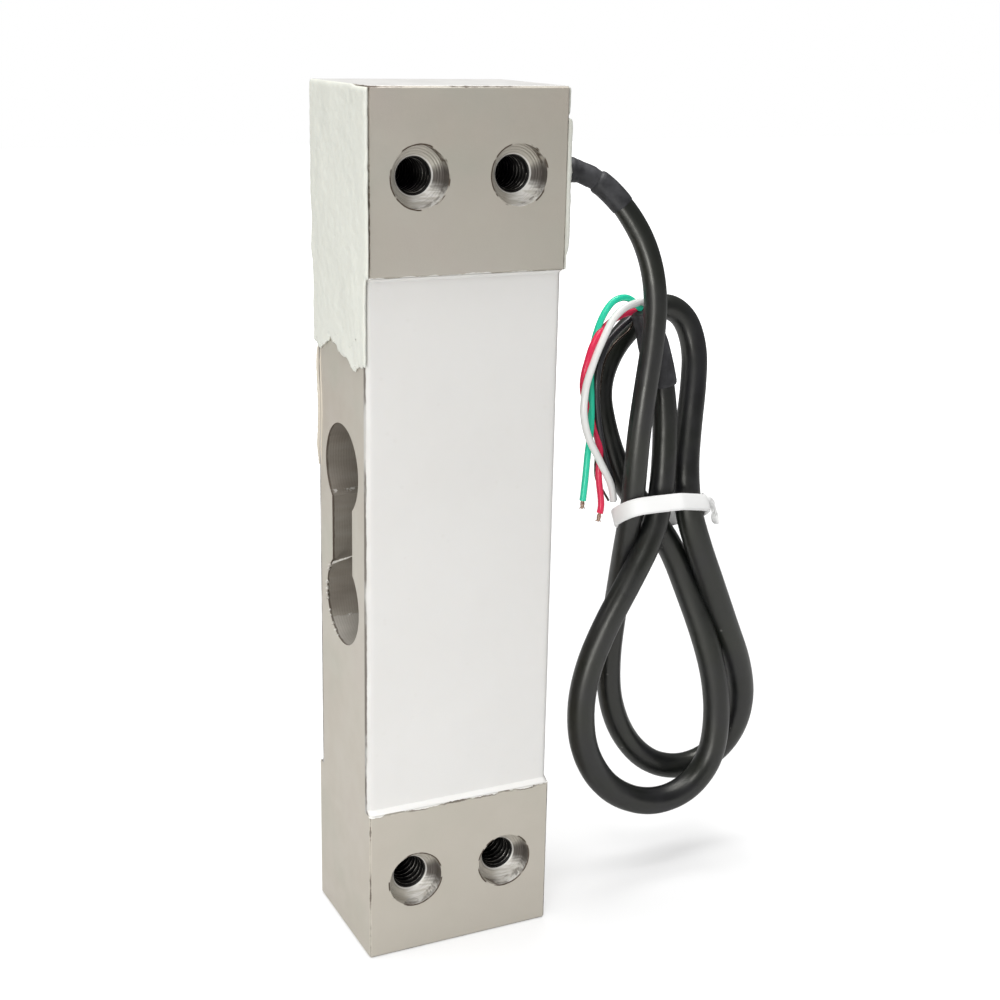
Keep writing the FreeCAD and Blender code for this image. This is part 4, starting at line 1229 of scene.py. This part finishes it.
@dataclass
class LeftSealant:
    """Sealant spread on the left side by hand, ragged at its lower edge."""

    node: str = "left_sealant"
    voxel: float = 0.22 * MM

    def make(self) -> None:
        """Remesh the solid and work its skin."""
        low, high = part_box(self.node)
        wings = [bar((-15.55, front, 92.3), (-14.95, rear, 104.9)) for front, rear in ((-9.95, -8.2), (8.2, 10.3))]
        piece = remade(self.node, self.voxel, smooth=4, extra=wings)
        skin = ("x", -1, -(low.x + 0.75 * MM), 0.4 * MM)
        to_front = ("y", -1, 8.2 * MM, 2.0 * MM)
        front_edge = within(skin, to_front)
        pad_edge = within(skin, to_front, ("z", 1, 103.5 * MM, 1.5 * MM))
        rear_edge = within(skin, ("y", 1, 8.2 * MM, 2.0 * MM))
        crown = within(skin, ("z", 1, high.z - 0.6 * MM, 0.5 * MM), ("y", 1, -7.5 * MM, 2 * MM))
        ragged = within(skin, ("z", -1, -(high.z - 32 * MM), 3 * MM))
        push(piece, "Y", -0.5 * MM, front_edge)
        push(piece, "Y", -0.12 * MM, pad_edge)
        push(piece, "Y", 0.15 * MM, rear_edge)
        push(piece, "Y", 0.16 * MM, front_edge, lump=2.2 * MM)
        push(piece, "Z", 0.22 * MM, crown)
        push(piece, "Z", 2.2 * MM, ragged, lump=1.6 * MM)
        push(piece, "X", 0.5 * MM, within(skin), lump=7 * MM)
        push(piece, "X", 0.16 * MM, within(skin), lump=1.4 * MM)
        finish_piece(piece, "left_sealant_wiped", PottingSealant(), [self.node])


@dataclass
class RightSealant:
    """Rounded sealant on the right side with the mound drawn up round the cable."""

    node: str = "right_sealant"
    voxel: float = 0.2 * MM

    def make(self) -> None:
        """Remesh the solid and work its skin."""
        low, _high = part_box(self.node)
        face = bpy.data.objects["beam"].bound_box[6][0]
        strip = bar((14.95, -10.3, 126.0), (15.95, 10.3, 129.8))
        piece = remade(self.node, self.voxel, smooth=10, extra=[strip])
        skin = ("x", 1, face + 0.2 * MM, 0.5 * MM)
        push(piece, "X", -0.35 * MM, within(skin))
        push(piece, "X", -0.9 * MM, within(skin, ("z", -1, -(low.z + 3.4 * MM), 3.4 * MM)))
        push(piece, "NORMAL", 0.3 * MM, within(skin), lump=4 * MM)
        push(piece, "NORMAL", 0.12 * MM, within(skin), lump=1.2 * MM)
        finish_piece(piece, "right_sealant_drawn", PottingSealant(), [self.node])


@dataclass
class Cable:
    """The cable in its tied hank, with the sleeves at its exit and at its free end.

    The swell is a factor on the radius by the number of the route's point: slim under the entry sleeve,
    fuller in the loops. The sleeves' profiles are radii in millimetres, the entry sleeve's by its distance
    along the cable.
    """

    radius: float = 2.0 * MM
    exit: Point = (0.0162, 0.0, 0.1176)
    swell: list[Corner] = field(default_factory=lambda: [
        (0, 0.66), (2, 0.66), (4, 0.88), (10, 0.93), (18, 1.04), (23, 1.2), (25, 1.16), (30, 1.06),
        (34, 0.98), (40, 1.06), (43, 1.14), (50, 1.14), (55, 1.04), (61, 0.98)])
    entry_profile: list[Corner] = field(default_factory=lambda: [
        (0.6, 1.7), (6.6, 1.7), (7.4, 1.92), (8.2, 1.72), (9.0, 1.58), (9.8, 1.62), (10.6, 1.64),
        (11.3, 1.56), (11.7, 1.55), (11.9, 1.76), (12.3, 1.84), (13.0, 1.83), (14.0, 1.83), (16.6, 1.83),
        (17.2, 1.79)])
    entry_rings: int = 110
    end_length: float = 13.0 * MM
    end_radius: float = 2.45
    end_rings: int = 50

    def make(self) -> Piece:
        """Returns:
            The end sleeve, from which the wires leave.
        """
        cable = nurbs("cable", CABLE_ROUTE, self.radius, turns=12)
        for number, control in enumerate(cable.data.splines[0].points):
            control.radius = profile_at(self.swell, number)
        line = line_of(cable)
        length = length_of(line)
        finish_piece(cable, "cable", CableJacket(), ["cable_jacket"])
        entry = self.entry_sleeve(line)
        end = self.end_sleeve(line, length)
        return end

    def entry_sleeve(self, line: Sequence[Vector]) -> Piece:
        """Shrunk sleeve at the exit: flared in the sealant, waisted outside, then a lip over the jacket."""
        start, end = self.entry_profile[0][0], self.entry_profile[-1][0]
        radii = []
        for index in range(self.entry_rings):
            along = start + (end - start) * index / (self.entry_rings - 1)
            radii.append(profile_at(self.entry_profile, along, ease) * MM)
        path = part_of(line, start * MM, end * MM, self.entry_rings)
        piece = tube("entry_sleeve_shrunk", path, radii, sides=40)
        push(piece, "NORMAL", 0.1 * MM, lump=1.8 * MM)
        finish_piece(piece, "entry_sleeve_shrunk", ShrunkSleeve(), ["entry_sleeve"])
        return piece

    def end_sleeve(self, line: Sequence[Vector], length: float) -> Piece:
        """Shrunk sleeve over the free end, drawn in a little past the cable's own end."""
        radii = []
        for index in range(self.end_rings):
            share = index / (self.end_rings - 1)
            radius = self.end_radius - 0.35 * ease((share - 0.5) / 0.3) - 0.25 * ease((share - 0.97) / 0.03)
            radii.append((radius - 0.15 * ease((0.03 - share) / 0.03)) * MM)
        piece = tube("end_sleeve_shrunk", part_of(line, length - self.end_length, length, self.end_rings), radii)
        finish_piece(piece, "end_sleeve_shrunk", ShrunkSleeve(), ["end_sleeve"])
        return piece


@dataclass
class Wires:
    """The cable's own wires, bent back beside it, with bare tips."""

    radius: float = 0.52 * MM
    white_radius: float = 0.58 * MM
    shield_radius: float = 0.18 * MM
    strand_radius: float = 0.06 * MM
    strand_reach: float = 1.5 * MM
    strand_count: int = 7
    strand_rings: int = 9

    def make(self) -> None:
        """Make each insulated wire, then the shield's bare one."""
        for colour in WireColour:
            label = colour.value[0]
            radius = self.white_radius if label == "white" else self.radius
            tip = f"tip_{label}" if label in ("green", "red") else None
            self.wire(f"wire_{label}", WIRE_ROUTES[label], radius, colour.finish, f"insulation_{label}", tip)
        dull = BareCopper("dull_copper", (0.11, 0.085, 0.07), (0.05, 0.035, 0.028))
        self.wire("shield_wire", WIRE_ROUTES["shield"], self.shield_radius, dull, "bare_copper")

    def wire(self, node: str, route: Sequence[Point], radius: float, look: Finish, slot: str,
             tip: str | None = None) -> None:
        """Args:
            node: The CAD node.
            route: The wire's route.
            radius: Its radius, in metres.
            look: Its finish.
            slot: Its material slot; not used.
            tip: CAD node of its bare tip, or None.
        """
        wire = nurbs(f"{node}_bent", route, radius, turns=14)
        line = line_of(wire)
        length = length_of(line)
        finish_piece(wire, f"{node}_bent", look, [node])
        pieces = [self.strands(line, length, tip)] if tip else []

    def strands(self, line: Sequence[Vector], length: float, node: str) -> Piece:
        """Twist a few bare strands together past the end of a wire's insulation."""
        core = part_of(line, length - 0.4 * MM, length, 3)
        along = (core[-1] - core[0]).normalized()
        side = along.cross(Vector((0, 1, 0))).normalized()
        other = along.cross(side)
        parts = []
        for strand in range(self.strand_count):
            turn = 2 * math.pi * strand / self.strand_count
            path = []
            for step in range(self.strand_rings):
                share = step / (self.strand_rings - 1)
                angle = turn + 1.6 * math.pi * share
                spread = (0.2 + 0.12 * share * (strand % 3)) * MM
                offset = (side * math.cos(angle) + other * math.sin(angle)) * spread
                path.append(core[-1] + along * (self.strand_reach * share - 0.2 * MM) + offset)
            parts.append(tube(f"{node}_strand", path, [self.strand_radius] * self.strand_rings, sides=8))
        piece = joined(parts)
        finish_piece(piece, f"{node}_strands", BareCopper(), [node])
        return piece


@dataclass
class BundleTie:
    """The flat white tie round the hank, raised in front, with its two ends twisted together."""

    node: str = "bundle_tie"
    centre: Point = (0.0382, -0.0005, 0.0622)
    corners: list[Corner] = field(default_factory=lambda: [
        (-5.6, -4.0), (1.0, -3.7), (6.5, -1.5), (6.6, -0.45), (0.7, 3.25), (-1.8, 2.2), (-5.7, -2.3)])
    reach: float = 2.4
    half_height: float = 1.05 * MM
    half_thickness: float = 0.35 * MM
    pitch: float = 32.0
    tail_path: list[Point] = field(default_factory=lambda: [
        (46.6, -1.25, 64.6), (48.0, -1.1, 64.2), (49.2, -0.8, 62.9), (50.0, -0.6, 61.2), (50.4, -0.5, 59.4)])
    tail_turns: float = 1.25

    def make(self) -> None:
        """Make the band and its twisted tail as one piece."""
        piece = joined([self.band(), self.tail(0.0), self.tail(math.pi)])
        finish_piece(piece, "bundle_tie_twisted", TiePlastic(), [self.node])

    def band(self) -> Piece:
        """Bend a flat ribbon with round edges round the strands."""
        outline = [(x * MM, y * MM, 0.0) for x, y in self.outline()]
        band = spline("tie_band", outline, closed=True, extrude=self.half_height, bevel_depth=self.half_thickness,
                      bevel_resolution=3, resolution_u=4)
        turned = Matrix.Rotation(math.radians(-self.pitch), 4, "X")
        band.matrix_world = Matrix.Translation(self.centre) @ turned
        return baked(band)

    def outline(self) -> list[Corner]:
        """Offset the corners outwards by the reach, with three points round each."""
        points = []
        stretch = 1 / math.cos(math.radians(self.pitch))
        count = len(self.corners)
        for index, (x, y) in enumerate(self.corners):
            before = self.corners[index - 1]
            after = self.corners[(index + 1) % count]
            first = math.atan2(-(x - before[0]), y - before[1])
            last = math.atan2(-(after[0] - x), after[1] - y)
            swing = (last - first) % (2 * math.pi)
            steps = 3 if swing > 0.4 else 2
            for step in range(steps):
                angle = first + swing * step / (steps - 1)
                out_y = y + self.reach * math.sin(angle)
                points.append((x + self.reach * math.cos(angle), stretch * out_y))
        return points

    def tail(self, turn: float) -> Piece:
        """One flat end of the tie, twisted round the other."""
        count = len(self.tail_path)
        swings = [turn + index / (count - 1) * 2 * self.tail_turns * math.pi for index in range(count)]
        points = []
        for swing, (x, y, z) in zip(swings, self.tail_path):
            offset = Vector((math.cos(swing), math.sin(swing), 0.0)) * 0.3
            points.append(((x + offset.x) * MM, (y + offset.y) * MM, z * MM))
        tail = spline("tie_tail", points, extrude=0.42 * MM, bevel_depth=0.16 * MM, bevel_resolution=2,
                      resolution_u=12, twist_mode="MINIMUM")
        for control, swing in zip(tail.data.splines[0].points, swings):
            control.tilt = swing
        return baked(tail)


@dataclass
class Threads:
    """The ridges of the screw threads in the four tapped holes."""

    record: dict
    wall: float = 2.51 * MM
    crest: float = 2.3 * MM
    lead: float = 1.0 * MM
    foot: float = 0.42 * MM
    half_length: float = 8.2 * MM

    def make(self) -> None:
        """Wind one ridge and copy it to each hole that the record states."""
        places = []
        for mount in self.record["mounts"]:
            if mount["kind"] == "bolt_pattern" and mount["axis"][1] < 0:
                half = mount["dims"]["spacing_x_mm"] * MM / 2
                places += [(sign * half, mount["pos_m"][2]) for sign in (-1, 1)]
        ridge = self.ridge()
        for number, (x, z) in enumerate(places, start=1):
            piece = link(f"thread_{number}", ridge.data.copy())
            piece.location = (x, 0.0, z)
            settle(piece)
            finish_piece(piece, f"thread_{number}", ThreadRidge())
        bpy.data.objects.remove(ridge)

    def ridge(self) -> Piece:
        """Wind a three-cornered profile along the hole."""
        deselect()
        half = 0.5 * self.lead
        bpy.ops.mesh.primitive_circle_add(vertices=4, radius=half, rotation=(0, 0, 0))
        piece = bpy.context.object
        settle(piece)
        with editing(piece):
            bpy.ops.transform.resize(value=((self.wall - self.crest) / half, self.foot / half / 2, 1),
                                     center_override=(0, 0, 0))
            bpy.ops.transform.translate(value=(self.wall, -self.half_length, 0))
        screw = piece.modifiers.new("Wind", "SCREW")
        screw.axis = "Y"
        screw.angle = 2 * math.pi
        screw.screw_offset = self.lead
        screw.iterations = int(2 * self.half_length / self.lead)
        screw.steps = screw.render_steps = 40
        screw.use_merge_vertices = False
        apply_all(piece)
        with editing(piece):
            bpy.ops.mesh.normals_make_consistent(inside=False)
        bpy.ops.object.shade_smooth_by_angle(angle=math.radians(35))
        return piece


@dataclass
class Swarf:
    """Bright chips and a burr left at the mouth of the cut-out on the left side."""

    face: float = -15.0
    bore: float = 54.75
    radius: float = 6.75
    burr: list[Corner] = field(default_factory=lambda: [
        (4.5, 59.1), (3.7, 59.6), (0.6, 61.0), (-2.0, 62.1), (-4.2, 63.1)])
    beads: list[Corner] = field(default_factory=lambda: [
        (58.7, 0.32), (57.9, 0.26), (55.6, 0.26), (54.6, 0.3), (53.8, 0.2), (53.1, 0.27), (51.3, 0.24), (50.6, 0.2),
        (49.6, 0.26), (48.9, 0.22), (48.4, 0.18)])

    def make(self) -> None:
        """Make the burr and the beads as one piece."""
        line = [Vector((self.face * MM, y * MM, z * MM)) for y, z in self.burr]
        parts = [tube("burr", line, [0.05 * MM, 0.2 * MM, 0.16 * MM, 0.12 * MM, 0.04 * MM], sides=10)]
        for z, radius in self.beads:
            y = math.sqrt(self.radius ** 2 - (z - self.bore) ** 2) - 0.05
            deselect()
            bpy.ops.mesh.primitive_ico_sphere_add(subdivisions=3, radius=radius * MM,
                                                  location=(self.face * MM, y * MM, z * MM))
            bead = bpy.context.object
            settle(bead)
            push(bead, "NORMAL", 0.7 * radius * MM, lump=radius * MM)
            parts.append(bead)
        finish_piece(joined(parts), "swarf", FreshChip())


@dataclass
class Crumbs:
    """Sealant worn to crumbs along the left side's rear edge."""

    top: float = 92.5
    bottom: float = 73.5

    def make(self) -> None:
        """Make two lumpy beads down the edge as one piece."""
        parts = []
        for y, radius in ((9.5, 0.34), (8.4, 0.2)):
            steps = 60
            line = []
            for index in range(steps):
                share = index / (steps - 1)
                line.append(Vector((-14.95 * MM, (y + 0.25 * math.sin(9 * share)) * MM,
                                    (self.top + (self.bottom - self.top) * share) * MM)))
            ends = [ease(6 * min(index / steps, 1 - index / steps)) for index in range(steps)]
            radii = [(radius * (0.35 + 0.65 * end)) * MM for end in ends]
            part = tube("crumbs", line, radii, sides=24)
            push(part, "NORMAL", 0.5 * radius * MM, lump=0.9 * MM)
            push(part, "NORMAL", 0.25 * radius * MM, lump=0.3 * MM)
            parts.append(part)
        look = PottingSealant("crumbled_sealant", (0.62, 0.57, 0.48), (0.34, 0.28, 0.21))
        finish_piece(joined(parts), "crumbs", look)


@dataclass
class KeptNodes:
    """CAD nodes that stay as they are and only get their finish."""

    looks: dict[str, Finish] = field(default_factory=lambda: {
        "beam": BlastedAluminium(),
        **dict.fromkeys(("gauge_front_upper", "gauge_front_lower", "gauge_rear_upper", "gauge_rear_lower"),
                        Laminate("gauge_foil", (0.45, 0.24, 0.07), (0.6, 0.34, 0.12))),
        **dict.fromkeys(("front_terminals", "rear_terminals"),
                        Laminate("terminal_laminate", (0.5, 0.3, 0.12), (0.62, 0.4, 0.18))),
        "junction_board": Laminate("board_laminate"),
        "zero_resistor": Laminate("chip_body", (0.02, 0.02, 0.02), (0.04, 0.04, 0.04)),
        "span_resistor": Laminate("resistor_lacquer", (0.32, 0.34, 0.24), (0.4, 0.42, 0.3)),
        **dict.fromkeys(("front_leads", "rear_leads", "cross_leads"), BareCopper()),
    })

    def make(self) -> None:
        """Dress each node."""
        for node, look in self.looks.items():
            look.wear(bpy.data.objects[node])
            LOG.info("%s dressed", node)


@dataclass
class Studio:
    """Pale floor, soft lamps, white surroundings and the camera."""

    camera_place: Point = (-0.0942, -0.2149, 0.1390)
    azimuth: float = 26.05
    elevation: float = 16.62
    roll: float = 1.24
    lens: float = 58.32
    aim: Point = (0.01, 0.0, 0.065)
    surround: float = 0.46
    backdrop: float = 0.54
    mirror_loss: float = 0.29

    def make(self) -> None:
        """Set the whole stage."""
        self.floor()
        self.surroundings()
        self.lamp("key", (-0.28, -0.45, 0.62), 0.25, 1.15)
        self.lamp("top", (0.0, 0.05, 0.75), 0.5, 5.0)
        self.lamp("left", (-0.6, 0.05, 0.25), 0.5, 1.0)
        self.lamp("low", (-0.15, -0.18, 0.04), 0.07, 0.17)
        self.camera()
        bpy.context.scene.view_settings.view_transform = "Standard"

    def floor(self) -> None:
        """Lay the floor."""
        deselect()
        bpy.ops.mesh.primitive_plane_add(size=3.0, location=(0, 0, 0))
        floor = bpy.context.object
        floor.name = "floor"
        PaleFloor().wear(floor)

    def surroundings(self) -> None:
        """White to the camera and through glass, softer in mirrors and softest as a light."""
        world = bpy.data.worlds.new("surroundings")
        bpy.context.scene.world = world
        world.use_nodes = True
        tree = Tree(world.node_tree)
        seen, glossy = ray(tree)
        tree.set(world.node_tree.nodes["Background"], Color=(1.0, 1.0, 1.0),
                 Strength=self.surround + seen * self.backdrop - glossy * self.mirror_loss)

    def lamp(self, name: str, place: Point, size: float, power: float) -> None:
        """Hang a square soft lamp that faces the object."""
        data = bpy.data.lights.new(name, "AREA")
        data.shape = "SQUARE"
        data.size = size
        data.energy = power
        lamp = link(name, data)
        lamp.location = place
        lamp.rotation_euler = (Vector(self.aim) - Vector(place)).to_track_quat("-Z", "Y").to_euler()

    def camera(self) -> None:
        """Place the camera by its bearing, height angle and roll."""
        around = math.radians(-self.azimuth)
        lift = math.radians(self.elevation)
        tilt = math.radians(self.roll)
        back = Vector((math.sin(around) * math.cos(lift), -math.cos(around) * math.cos(lift), math.sin(lift)))
        right = Vector((0, 0, 1)).cross(back).normalized()
        up = back.cross(right)
        turned_right = right * math.cos(tilt) + up * math.sin(tilt)
        turned_up = up * math.cos(tilt) - right * math.sin(tilt)
        data = bpy.data.cameras.new("camera")
        data.sensor_width = 36.0
        data.lens = self.lens
        data.clip_start = 0.01
        data.clip_end = 20.0
        camera = link("camera", data)
        frame = Matrix((turned_right, turned_up, back)).transposed().to_4x4()
        camera.matrix_world = Matrix.Translation(self.camera_place) @ frame
        bpy.context.scene.camera = camera


def main() -> None:
    """Load the frame and dress it piece by piece."""
    logging.basicConfig(level=logging.INFO, format="%(name)s: %(message)s")
    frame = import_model()
    KeptNodes().make()
    Threads(frame["record"]).make()
    Swarf().make()
    Crumbs().make()
    Coat("front_coat", -1).make()
    Coat("rear_coat", 1).make()
    LeftSealant().make()
    RightSealant().make()
    Cable().make()
    Wires().make()
    BundleTie().make()
    Studio().make()


if __name__ == "__main__":
    main()
